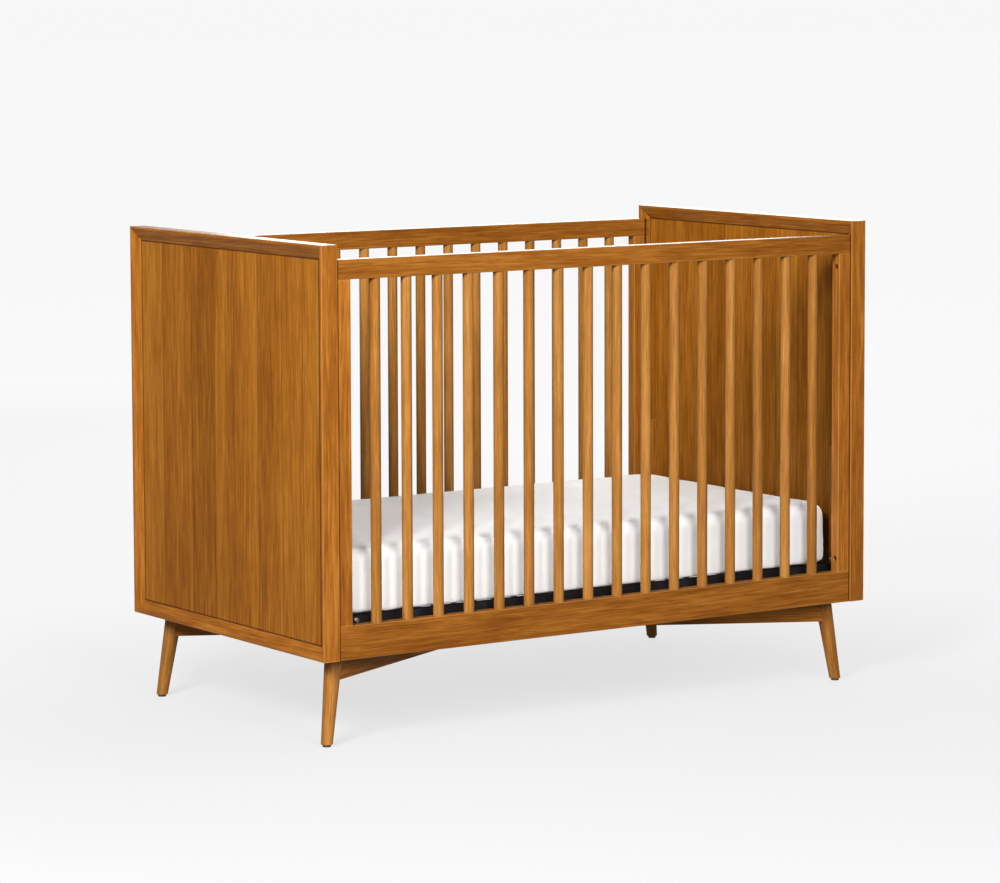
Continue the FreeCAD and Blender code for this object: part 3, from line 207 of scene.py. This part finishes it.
acornWood = {
    "dark": (0.137, 0.041, 0.0045),
    "middle": (0.226, 0.076, 0.008),
    "light": (0.337, 0.133, 0.022),
    "pore": (0.08, 0.023, 0.002),
    # joint colour: dirt and painted shade where pieces meet
    "joint": (0.03, 0.008, 0.001),
    # arris colour: the stain rubbed thin, and a painted edge highlight
    "worn": (0.46, 0.23, 0.07),
    "roughness": 0.5,
    "coat": 0.9,
    "bump": 0.3,
}
spindleWood = dict(
    acornWood,
    dark=(0.17, 0.064, 0.01),
    middle=(0.24, 0.1, 0.02),
    light=(0.33, 0.155, 0.038),
)
legWood = dict(
    acornWood,
    dark=(0.15, 0.055, 0.009),
    middle=(0.235, 0.094, 0.018),
    light=(0.325, 0.148, 0.035),
)
panelWood = dict(
    acornWood,
    dark=(0.137, 0.042, 0.003),
    middle=(0.222, 0.075, 0.0058),
    light=(0.32, 0.126, 0.015),
    coat=0.5,
)
boardTone = {
    "front_top_rail": 0.84,
    "front_bottom_rail": 0.86,
    "back_top_rail": 0.8,
    "back_bottom_rail": 0.8,
}
woodGrain = {
    "board": (14, 14, 0.8),  # repeats in a metre: across, across, along the grain
    "figure": (34, 34, 7.0),
    "streak": (150, 150, 5.0),
    "fibre": (360, 360, 14.0),
    "pores": (1000, 1000, 32.0),
    "wander": (2.2, 2.2, 0.8),
    "wanderBy": (0.03, 0.03, 0.0),  # metres, as are the next widths
    "arris": (0.0024, 0.0006),
    "arrisRagged": 0.0022,
    # widths and strength of the dirt and painted shade in the joints
    "jointLine": (0.0042, 0.0014),
    "relief": 0.0004,
    "jointDark": 0.85,
    "leavesPerMetre": 10.5,
    "leafUneven": 0.6,
    "leafSeam": (0.026, 0.006),
    "ownLog": (3.0, 3.0, 3.0),  # how far apart in the log two leaves or two spindles lie
    "ownTone": 0.14,
}


def woodFinish(
    name, seed, grain, tones=acornWood, strips=0.0, pitch=0.0, box=None, closed=(), bright=1.0
):
    layers = woodGrain
    finish = Finish(name, Coat_Roughness=0.2, Coat_IOR=1.16, Specular_IOR_Level=0.02)
    place = finish.objectPlace()
    across, deep, tall = spread(finish, place)
    turn = grain.rotation_difference(Vector((0, 0, 1))).to_euler("XYZ")
    offset = Vector((seed * 1.37 % 7, seed * 2.91 % 11, seed * 0.83 % 5))
    along = finish.add("Mapping", Vector=place, Rotation=turn, Location=offset)
    tone = None
    if strips:  # veneer leaves: each its own tone, its own piece of log
        leaves = {"W": deep + seed, "Scale": strips, "Randomness": layers["leafUneven"]}
        leaf = finish.add("TexVoronoi", {"voronoi_dimensions": "1D"}, "Color", **leaves)
        edgeKind = {"voronoi_dimensions": "1D", "feature": "DISTANCE_TO_EDGE"}
        edge = finish.add("TexVoronoi", edgeKind, "Distance", **leaves)
        seamLine = finish.ramp(edge, *layers["leafSeam"])
        tone = finish.add("SeparateColor", Color=leaf)
        along = finish.shifted(along, finish.stretched(leaf, layers["ownLog"]))
    if pitch:  # a row of turned pieces, each with its own tone
        number = (across / pitch + seed).floor()
        own = finish.add("TexWhiteNoise", {"noise_dimensions": "1D"}, "Color", W=number)
        tone = finish.add("SeparateColor", Color=own)
        along = finish.shifted(along, finish.stretched(own, layers["ownLog"]))
    wander = finish.noise(finish.stretched(along, layers["wander"]), detail=1.0).also("Color")
    along = finish.shifted(along, finish.stretched(wander, layers["wanderBy"]))
    board = finish.noise(finish.stretched(along, layers["board"]), detail=2.0)
    figure = finish.noise(finish.stretched(along, layers["figure"]), detail=2.0)
    streak = finish.noise(finish.stretched(along, layers["streak"]), detail=3.0, roughness=0.7)
    fibre = finish.noise(finish.stretched(along, layers["fibre"]), detail=2.0, roughness=0.7)
    pores = finish.noise(finish.stretched(along, layers["pores"]), detail=1.0)
    poreMask = finish.ramp(pores, 0.62, 0.74) * finish.ramp(streak, 0.35, 0.6)
    level = board * 0.5 + figure * 0.35 + streak * 0.85 + fibre * 0.8 - 0.75
    if tone is not None:
        level = level + tone * layers["ownTone"] - layers["ownTone"] / 2
    base = finish.mix(finish.ramp(level, 0.24, 0.52, False), tones["dark"], tones["middle"])
    base = finish.mix(finish.ramp(level, 0.5, 0.84, False), base, tones["light"])
    base = finish.mix(poreMask * 0.5, base, tones["pore"])
    if strips:
        base = finish.mix(seamLine * 0.5, base, tones["pore"])
    if box is not None:  # lighter along the arrises: the stain rubbed thin there, and a painted highlight on the edges
        low, high = box
        middle, half = (low + high) / 2, (high - low) / 2
        sides = spread(finish, finish.shifted(place, tuple(-middle)))
        gapX, gapY, gapZ = [reach - abs(side) for side, reach in zip(sides, half)]
        inner = gapX.least(gapY).most(gapX.most(gapY).least(gapZ))  # the second smallest gap
        # arris mask: rubbed-thin stain and painted highlight together
        worn = finish.ramp(inner + (fibre - 0.5) * layers["arrisRagged"], *layers["arris"])
        base = finish.mix(worn * 0.25, base, tones["worn"])
    for axis, plane in closed:  # dirt and painted shade gather dark where another piece stands against it
        gap = abs((across, deep, tall)[axis] - plane)
        dirtAndShadeLine = finish.ramp(gap, *layers["jointLine"]) * layers["jointDark"]
        base = finish.mix(dirtAndShadeLine, base, tones["joint"])
    if bright != 1.0:
        base = finish.mix(1.0, base, (bright, bright, bright), "MULTIPLY")
    height = fibre * 0.6 + streak * 0.25 - poreMask * 0.9
    return finish.surface(
        Base_Color=base,
        Roughness=tones["roughness"] + (fibre - 0.5) * 0.16 + poreMask * 0.15,
        Coat_Weight=tones["coat"] - poreMask * 0.6,
        Normal=finish.bump(height, tones["bump"], layers["relief"]),
    )


def closedFaces(name):  # the planes, as axis and place, where other pieces meet this one
    left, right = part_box("left_end_front_stile")[1].x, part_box("right_end_front_stile")[0].x
    if name.startswith(("front_", "back_")) and name.endswith(("_rail", "_stile")):
        return [(0, left), (0, right)]
    if name.endswith("_panel"):
        rail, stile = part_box("left_end_bottom_rail"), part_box("left_end_front_stile")
        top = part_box("left_end_top_rail")
        return [(2, rail[1].z), (2, top[0].z), (1, stile[1].y), (1, -stile[1].y)]
    return []


grainLean = {"leg": (25, 13, -176), "beam": (628, 325, 0)}  # run of each in millimetres


def grainOf(name):
    legX, legY, legZ = grainLean["leg"]
    beamX, beamY, beamZ = grainLean["beam"]
    if "end_top_rail" in name or "end_bottom_rail" in name:
        return Vector((0, 1, 0))
    if name.endswith("_leg"):
        outX = legX if "right" in name else -legX
        outY = legY if "back" in name else -legY
        return Vector((outX, outY, legZ)).normalized()
    if name.startswith("beam_"):
        slope = 1 if name == "beam_front_left_to_back_right" else -1
        return Vector((beamX, beamY * slope, beamZ)).normalized()
    if name.endswith(("_rail", "_block")):
        return Vector((1, 0, 0))
    return Vector((0, 0, 1))


blackSteel = {
    "dark": (0.004, 0.004, 0.005),
    "rubbed": (0.012, 0.012, 0.013),
    "rubScale": 22,
    "rubFrom": (0.4, 0.75),
    "peelScale": 900,
    "peelBump": (0.35, 0.0002),
    "roughness": (0.4, 0.2),
}


def blackSteelFinish(settings):
    finish = Finish("powder coated steel", Specular_IOR_Level=0.3)
    place = finish.objectPlace()
    peel = finish.noise(place, detail=2.0, scale=settings["peelScale"])
    rub = finish.noise(place, detail=3.0, scale=settings["rubScale"])
    worn = finish.ramp(rub, *settings["rubFrom"])
    rough, spreadOf = settings["roughness"]
    return finish.surface(
        Base_Color=finish.mix(worn, settings["dark"], settings["rubbed"]),
        Roughness=rough + rub * spreadOf,
        Normal=finish.bump(peel, *settings["peelBump"]),
    )


zinc = {
    "dark": (0.52, 0.52, 0.5),
    "light": (0.78, 0.78, 0.76),
    "cloudScale": 160,
    "brush": (2600, 2600, 300),
    "brushBump": (0.2, 0.0001),
    "roughness": (0.22, 0.2),
}


def zincFinish(settings):
    finish = Finish("bright zinc", Metallic=1.0)
    place = finish.objectPlace()
    cloud = finish.noise(place, detail=3.0, scale=settings["cloudScale"])
    brushed = finish.noise(finish.stretched(place, settings["brush"]), detail=1.0)
    rough, spreadOf = settings["roughness"]
    return finish.surface(
        Base_Color=finish.mix(cloud, settings["dark"], settings["light"]),
        Roughness=rough + cloud * spreadOf,
        Normal=finish.bump(brushed, *settings["brushBump"]),
    )


brass = {
    "dark": (0.5, 0.33, 0.12),
    "light": (0.78, 0.58, 0.27),
    "scale": 240,
    "bump": (0.2, 0.0002),
    "roughness": (0.25, 0.25),
}
glide = {
    "dark": (0.016, 0.011, 0.008),
    "light": (0.04, 0.028, 0.02),
    "scale": 1400,
    "bump": (0.3, 0.0002),
    "roughness": (0.5, 0.2),
}


def mottledFinish(name, settings, **constants):
    finish = Finish(name, **constants)
    mottle = finish.noise(finish.objectPlace(), detail=2.0, scale=settings["scale"])
    rough, spreadOf = settings["roughness"]
    return finish.surface(
        Base_Color=finish.mix(mottle, settings["dark"], settings["light"]),
        Roughness=rough + mottle * spreadOf,
        Normal=finish.bump(mottle, *settings["bump"]),
    )


def dressCadPieces(spindlePitch):
    steelMetal, zincMetal = blackSteelFinish(blackSteel), zincFinish(zinc)
    brassMetal = mottledFinish("turned brass", brass, Metallic=1.0)
    glideMoulding = mottledFinish("moulded glide", glide)
    zincPieces = ("bolts", "screws", "nuts")
    for number, (name, piece) in enumerate(sorted(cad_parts.items()), start=1):
        grain = grainOf(name)
        if name.endswith(zincPieces) and name != "side_bolts":
            material = zincMetal
        elif name == "threaded_inserts":
            material = brassMetal
        elif name == "foot_glides":
            material = glideMoulding
        elif name.startswith("support_") or name.endswith("_hanger") or name == "side_bolts":
            material = steelMetal
        elif name == "mattress":
            continue
        elif name.endswith("_spindles"):
            material = woodFinish(name, number, grain, spindleWood, pitch=spindlePitch)
        elif name.endswith("_panel"):
            strips, closed = woodGrain["leavesPerMetre"], closedFaces(name)
            material = woodFinish(name, number, grain, panelWood, strips=strips, closed=closed)
        elif name.endswith("_leg"):
            material = woodFinish(name, number, grain, legWood)
        elif name.startswith("beam_") or name.endswith("_dowels"):
            material = woodFinish(name, number, grain)
        else:
            box, closed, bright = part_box(name), closedFaces(name), boardTone.get(name, 1.0)
            material = woodFinish(name, number, grain, box=box, closed=closed, bright=bright)
        piece.data.materials.clear()
        piece.data.materials.append(material)


def pitchOfSpindles(number=16):
    low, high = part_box("front_spindles")
    thick = high.y - low.y
    return (high.x - low.x - thick) / (number - 1)


dressCadPieces(pitchOfSpindles())
print("wood and metal finished")


# mattress, and the fitted sheet on it

mattress = {
    "inset": 0.004,
    "lift": 0.0018,
    "cornerRadius": 0.06,
    "edgeRadius": 0.021,
    "footRadius": 0.006,
    "sag": 0.012,
    "voxel": 0.009,
    "pressure": 4.0,
    "frames": 20,
    "mostSwell": 0.006,
    "within": (0.0032, 0.003, 0.0022),  # room left for the sheet at the ends, sides and top
    "sagOverTube": (-0.001, 0.005),
    "sagFromEnds": (0.04, 0.2),
    "sagUpTo": 0.06,
    "cloth": {
        "quality": 5,
        "mass": 0.3,
        "tension_stiffness": 18,
        "compression_stiffness": 18,
        "shear_stiffness": 6,
        "bending_stiffness": 0.6,
        "use_pressure": True,
    },
}


def smoothStep(value, low, high):
    share = min(max((value - low) / (high - low), 0.0), 1.0)
    return share * share * (3 - 2 * share)


def newPiece(name, mesh):
    piece = bpy.data.objects.new(name, mesh)
    scene.collection.objects.link(piece)
    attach(piece, "mattress")
    return piece


def meshOf(shape, name, smooth=True):
    mesh = bpy.data.meshes.new(name)
    bmesh.ops.recalc_face_normals(shape, faces=shape.faces)
    for face in shape.faces:
        face.smooth = smooth
    shape.to_mesh(mesh)
    shape.free()
    return mesh


def applied(piece, keepName):
    bpy.context.view_layer.update()
    shaped = piece.evaluated_get(bpy.context.evaluated_depsgraph_get())
    mesh = bpy.data.meshes.new_from_object(shaped)
    mesh.name = keepName
    piece.modifiers.clear()
    piece.data = mesh


def roundedSlab(low, high, cornerRadius, edgeRadius, footRadius):
    shape = bmesh.new()
    bmesh.ops.create_cube(shape, size=1)
    bmesh.ops.scale(shape, vec=high - low, verts=shape.verts)
    bmesh.ops.translate(shape, vec=(low + high) / 2, verts=shape.verts)
    rounding = {"profile": 0.5, "affect": "EDGES", "material": -1}
    upright = [e for e in shape.edges if abs(e.verts[0].co.z - e.verts[1].co.z) > 0.01]
    bmesh.ops.bevel(shape, geom=upright, offset=cornerRadius, segments=10, **rounding)
    for level, radius in ((high.z, edgeRadius), (low.z, footRadius)):
        rim = [e for e in shape.edges if all(abs(v.co.z - level) < 0.0001 for v in e.verts)]
        bmesh.ops.bevel(shape, geom=rim, offset=radius, segments=6, **rounding)
    return shape


def swell(piece, settings):
    cloth = piece.modifiers.new("swell", "CLOTH")
    for key, value in settings["cloth"].items():
        setattr(cloth.settings, key, value)
    cloth.settings.uniform_pressure_force = settings["pressure"]
    cloth.settings.effector_weights.gravity = 0
    cloth.collision_settings.use_collision = False
    cloth.point_cache.frame_start, cloth.point_cache.frame_end = 1, settings["frames"]
    before = [vertex.co.copy() for vertex in piece.data.vertices]
    for number in range(1, settings["frames"] + 1):
        scene.frame_set(number)
    applied(piece, piece.name)
    for vertex, start in zip(piece.data.vertices, before):
        move = vertex.co - start
        if move.length > settings["mostSwell"]:
            vertex.co = start + move.normalized() * settings["mostSwell"]
    scene.frame_set(1)


def sagAt(point, floor, tube, ends, settings):  # the long edges hang over the support's tubes
    start, end = settings["sagOverTube"]
    beyond = smoothStep(abs(point.y), tube + start, tube + end)
    middle = smoothStep(ends - abs(point.x), *settings["sagFromEnds"])
    high = smoothStep(point.z, floor, floor + settings["sagUpTo"])
    return settings["sag"] * beyond * middle * (1 - high)


def makeMattress(settings):
    low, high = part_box("mattress")
    edge = Vector((settings["inset"],) * 3)
    radii = settings["cornerRadius"], settings["edgeRadius"], settings["footRadius"]
    shape = roundedSlab(low + edge + Vector((0, 0, settings["lift"])), high - edge, *radii)
    piece = newPiece("mattress_core", meshOf(shape, "mattress_core"))
    remesh = piece.modifiers.new("even mesh", "REMESH")
    remesh.mode, remesh.voxel_size = "VOXEL", settings["voxel"]
    applied(piece, "mattress_core")
    swell(piece, settings)
    endGap, sideGap, topGap = settings["within"]
    floor, roof = low.z + settings["lift"], high.z - topGap
    reachX, reachY = high.x - endGap, high.y - sideGap
    tube = -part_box("support_front_tube")[0].y
    for vertex in piece.data.vertices:
        point = vertex.co
        point.z = min(max(point.z, floor), roof)
        point.x = min(max(point.x, -reachX), reachX)
        point.y = min(max(point.y, -reachY), reachY)
        point.z -= sagAt(point, floor, tube, high.x, settings)
        if abs(point.y) < tube:
            point.z = max(point.z, floor)
    for polygon in piece.data.polygons:
        polygon.use_smooth = True
    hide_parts("mattress")
    return piece


sheet = {
    "thick": 0.0007,
    "clear": 0.0006,
    "hemReach": 0.072,
    "gather": 0.0030,
    "gatherWidth": 0.026,
    "slack": 0.0012,
    "sideGather": 0.22,
    "gatherShare": 0.8,
    "crease": 0.0006,
    "underLift": 0.7,
    "cornerSpan": (0.05, 0.24),
    "lowSpan": (0.01, 0.105),
    "foldStretch": 0.16,
    "drapeScale": (7, 2.2),
    "drapeShift": (3, 8, 1),
    "belt": 0.003,
    "top": (1.302, 0.696),  # the flat sheet: the top, and the square cut out of each corner
    "cornerCut": 0.205,
    "overEnds": 0.0012,
    "overTubes": 0.0009,
}


def makeSheet(core, settings):
    low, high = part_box("mattress")
    piece = newPiece("fitted_sheet", core.data.copy())
    finer = piece.modifiers.new("finer", "SUBSURF")
    finer.levels = finer.render_levels = 1
    applied(piece, "fitted_sheet")
    shape = bmesh.new()
    shape.from_mesh(piece.data)
    shape.normal_update()
    floor = low.z + mattress["lift"] + settings["belt"]
    reach, width = settings["hemReach"], settings["gatherWidth"]
    drapeAcross, drapeUp = settings["drapeScale"]
    drapeShift = Vector(settings["drapeShift"])
    lowFrom, lowTo = settings["lowSpan"]

    def underMiddle(face):
        middle = face.calc_center_median()
        inside = min(high.x - abs(middle.x), high.y - abs(middle.y))
        return middle.z < floor and inside > reach

    under = [face for face in shape.faces if underMiddle(face)]
    bmesh.ops.delete(shape, geom=under, context="FACES")
    bmesh.ops.delete(shape, geom=[v for v in shape.verts if not v.link_faces], context="VERTS")
    moves = {}
    for vertex in shape.verts:
        point, out = vertex.co, vertex.normal
        cornerX = high.x - abs(point.x)
        cornerY = high.y - abs(point.y)
        nearCorner = 1 - smoothStep(max(cornerX, cornerY), *settings["cornerSpan"])
        lowDown = 1 - smoothStep(point.z, low.z + lowFrom, low.z + lowTo)
        folds = noise.noise(Vector((point.x, point.y, point.z * settings["foldStretch"])) / width)
        hang = Vector((point.x * drapeAcross, point.y * drapeAcross, point.z * drapeUp))
        drape = noise.noise(hang + drapeShift)
        slant = Vector((point.x * 11 + point.y * 9, point.y * 13 - point.x * 5, 4.0))
        creases = noise.noise(slant)
        gathered = settings["sideGather"] + nearCorner
        lift = settings["clear"] + settings["slack"] * (0.5 + 0.5 * drape)
        lift += settings["gather"] * (0.5 + folds) * lowDown * gathered * settings["gatherShare"]
        lift += settings["crease"] * abs(creases) * nearCorner
        if point.z < floor + 0.002:
            lift = settings["clear"] * settings["underLift"]
        moves[vertex] = out * lift
    for vertex, move in moves.items():
        vertex.co += move
    shape.to_mesh(piece.data)
    shape.free()
    tube, endGap = -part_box("support_front_tube")[0].y, settings["overEnds"]
    for vertex in piece.data.vertices:
        if abs(vertex.co.y) < tube + 0.002:
            vertex.co.z = max(vertex.co.z, low.z + settings["overTubes"])
        vertex.co.x = min(max(vertex.co.x, low.x + endGap), high.x - endGap)
    for polygon in piece.data.polygons:
        polygon.use_smooth = True
    cloth = piece.modifiers.new("cloth thickness", "SOLIDIFY")
    cloth.thickness, cloth.offset = settings["thick"], 1.0
    corner = settings["cornerCut"]
    cut = tuple(side + 2 * corner for side in settings["top"])
    area = cut[0] * cut[1] - 4 * corner**2
    return piece


seam = {
    "radius": 0.0011,
    "steps": 26,
    "cornerHeart": 0.075,
    "fromAngle": 68,  # degrees over the level, then down the corner
    "sweep": 128,
    "probe": 0.3,
    "proud": 0.2,
    "floorGap": 0.004,
}


def makeCornerSeams(sheetPiece, settings):
    low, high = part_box("mattress")
    inward = settings["cornerHeart"]
    first, sweep = math.radians(settings["fromAngle"]), math.radians(settings["sweep"])
    tree = BVHTree.FromObject(sheetPiece, bpy.context.evaluated_depsgraph_get())
    curve = bpy.data.curves.new("sheet_corner_seams", "CURVE")
    curve.dimensions, curve.bevel_depth, curve.bevel_resolution = "3D", settings["radius"], 2
    curve.use_fill_caps = True
    for signX in (-1, 1):
        for signY in (-1, 1):
            heart = Vector((signX * (high.x - inward), signY * (high.y - inward), 0))
            outward = Vector((signX, signY, 0)).normalized()
            points = []
            for step in range(settings["steps"] + 1):
                angle = first - sweep * step / settings["steps"]
                middle = heart + Vector((0, 0, (low.z + high.z) / 2))
                lean = outward * math.cos(angle) + Vector((0, 0, math.sin(angle)))
                spot, normal, _, _ = tree.ray_cast(middle + lean * settings["probe"], -lean)
                if spot is not None and spot.z > low.z + settings["floorGap"]:
                    points.append(spot + normal * settings["radius"] * settings["proud"])
            spline = curve.splines.new("NURBS")
            spline.points.add(len(points) - 1)
            for slot, point in zip(spline.points, points):
                slot.co = (*point, 1)
            spline.order_u, spline.use_endpoint_u = 3, True
    thread = bpy.data.objects.new("seam_line", curve)
    scene.collection.objects.link(thread)
    bpy.context.view_layer.update()
    shaped = thread.evaluated_get(bpy.context.evaluated_depsgraph_get())
    mesh = bpy.data.meshes.new_from_object(shaped)
    mesh.name = "sheet_corner_seams"
    bpy.data.objects.remove(thread)
    piece = newPiece("sheet_corner_seams", mesh)
    return piece


def cottonFinish(name, white, weave):
    finish = Finish(name, Sheen_Weight=0.35, Sheen_Roughness=0.5, IOR=1.4)
    place = finish.objectPlace()
    x, y, z = spread(finish, place)
    turns = 2 * math.pi / weave
    warp, weft, rise = (x * turns).sine(), (y * turns).sine(), (z * turns).sine()
    threads = warp * weft + weft * rise + warp * rise
    slub = finish.noise(finish.stretched(place, (240, 2400, 2400)), detail=1.0)
    soft = finish.noise(place, detail=4.0, scale=9)
    wash = finish.noise(place, detail=2.0, scale=60)
    shade = tuple(part * 0.94 for part in white)
    clean = finish.ramp(soft * 0.6 + wash * 0.2 + slub * 0.2, 0.35, 0.7)
    return finish.surface(
        Base_Color=finish.mix(clean, shade, white),
        Roughness=0.82 + (slub - 0.5) * 0.2,
        Normal=finish.bump(threads * 0.25 + slub * 0.4 + soft * 3.0, 0.3, 0.0005),
    )


cotton = {  # name, white, width of the weave
    "sheet": ("white cotton sheet", (0.815, 0.825, 0.815), 0.0009),
    "core": ("mattress ticking", (0.72, 0.72, 0.7), 0.0022),
    "seams": ("sheet seam", (0.82, 0.82, 0.81), 0.0007),
}
core = makeMattress(mattress)
fitted = makeSheet(core, sheet)
seams = makeCornerSeams(fitted, seam)
fitted.data.materials.append(cottonFinish(*cotton["sheet"]))
core.data.materials.append(cottonFinish(*cotton["core"]))
seams.data.materials.append(cottonFinish(*cotton["seams"]))
print("mattress made:", len(core.data.polygons), "faces, sheet", len(fitted.data.polygons))


# studio: pale floor, soft light

studio = {
    "glowNear": 0.705,
    "glowMiddle": 0.822,
    "glowFar": 0.925,
    "glowBounce": 0.22,
    "glowSpread": (0.95, 2.7),
    "glowEdge": (6.0, 8.0),
    "glowCentre": (-0.45, -0.8, 0),
    "floorTone": (0.11, 0.11, 0.11),
    "floorSize": 90.0,
    "floorDrop": 0.0003,
    "skyLow": 0.93,
    "skyHigh": 0.22,
    "skyFade": (0.04, 0.3),
    "skySpill": 0.34,
}


def makeFloor(settings):
    shape = bmesh.new()
    bmesh.ops.create_grid(shape, x_segments=1, y_segments=1, size=settings["floorSize"])
    bmesh.ops.translate(shape, vec=(0, 0, -settings["floorDrop"]), verts=shape.verts)
    floor = bpy.data.objects.new("floor", meshOf(shape, "floor", smooth=False))
    scene.collection.objects.link(floor)
    finish = Finish("studio floor", Roughness=1.0, Specular_IOR_Level=0.0, Emission_Strength=1.0)
    centre = tuple(-part for part in settings["glowCentre"])
    place = finish.stretched(finish.shifted(finish.objectPlace(), centre), (1, 1, 0))
    far = finish.add("VectorMath", {"operation": "LENGTH"}, "Value", s0=place)
    near, middle = settings["glowNear"], settings["glowMiddle"]
    away, bounce = settings["glowFar"], settings["glowBounce"]
    glow = finish.mix(finish.ramp(far, *settings["glowSpread"]), (near,) * 3, (middle,) * 3)
    pastLights = finish.ramp(far, *settings["glowEdge"])
    glow = finish.mix(pastLights, glow, (away,) * 3)
    seen = finish.add("LightPath", output="Is Camera Ray")
    glow = finish.mix(seen, (bounce,) * 3, glow)
    tone = (*settings["floorTone"], 1)
    floor.data.materials.append(finish.surface(Base_Color=tone, Emission_Color=glow))


# bright low down all round, as a backdrop is, and dimmer overhead and where it lights the crib
def makeSky(settings):
    world = bpy.data.worlds.new("studio")
    scene.world = world
    world.use_nodes = True
    tree = world.node_tree
    sky = tree.nodes["Background"]
    direction = tree.nodes.new("ShaderNodeTexCoord").outputs["Generated"]
    split = tree.nodes.new("ShaderNodeSeparateXYZ")
    tree.links.new(direction, split.inputs[0])
    start, end = settings["skyFade"]
    fade = tree.nodes.new("ShaderNodeMapRange")
    fade.interpolation_type = "SMOOTHSTEP"
    tree.links.new(split.outputs["Z"], fade.inputs["Value"])
    fade.inputs["From Min"].default_value, fade.inputs["From Max"].default_value = start, end
    fade.inputs["To Min"].default_value = settings["skyLow"]
    fade.inputs["To Max"].default_value = settings["skyHigh"]
    path = tree.nodes.new("ShaderNodeLightPath").outputs["Is Diffuse Ray"]
    shade = tree.nodes.new("ShaderNodeMapRange")
    tree.links.new(path, shade.inputs["Value"])
    shade.inputs["To Min"].default_value = 1
    shade.inputs["To Max"].default_value = settings["skySpill"]
    level = tree.nodes.new("ShaderNodeMath")
    level.operation = "MULTIPLY"
    tree.links.new(fade.outputs["Result"], level.inputs[0])
    tree.links.new(shade.outputs["Result"], level.inputs[1])
    sky.inputs["Color"].default_value = (1, 1, 1, 1)
    tree.links.new(level.outputs["Value"], sky.inputs["Strength"])


lights = {
    "key": {"place": (-4.3, -3.0, 3.2), "aim": (0, 0, 0.5), "size": (1.8, 1.8), "power": 545},
    "front": {"place": (-1.2, -5.6, 2.6), "aim": (0, 0, 0.5), "size": (2.4, 2.0), "power": 310},
    "top": {"place": (0.7, -0.4, 4.4), "aim": (0, 0, 0.3), "size": (2.6, 2.0), "power": 40},
    "back": {"place": (3.6, 4.2, 2.8), "aim": (0, 0, 0.5), "size": (3.4, 2.8), "power": 140},
}


def makeLight(name, settings):
    lamp = bpy.data.lights.new(name, "AREA")
    lamp.shape, lamp.energy = "RECTANGLE", settings["power"]
    lamp.size, lamp.size_y = settings["size"]
    stand = bpy.data.objects.new(name, lamp)
    place = Vector(settings["place"])
    stand.location = place
    stand.rotation_mode = "QUATERNION"
    stand.rotation_quaternion = (Vector(settings["aim"]) - place).to_track_quat("-Z", "Y")
    scene.collection.objects.link(stand)


makeFloor(studio)
makeSky(studio)
for lightName, lightSettings in lights.items():
    makeLight(lightName, lightSettings)
print("studio lit")
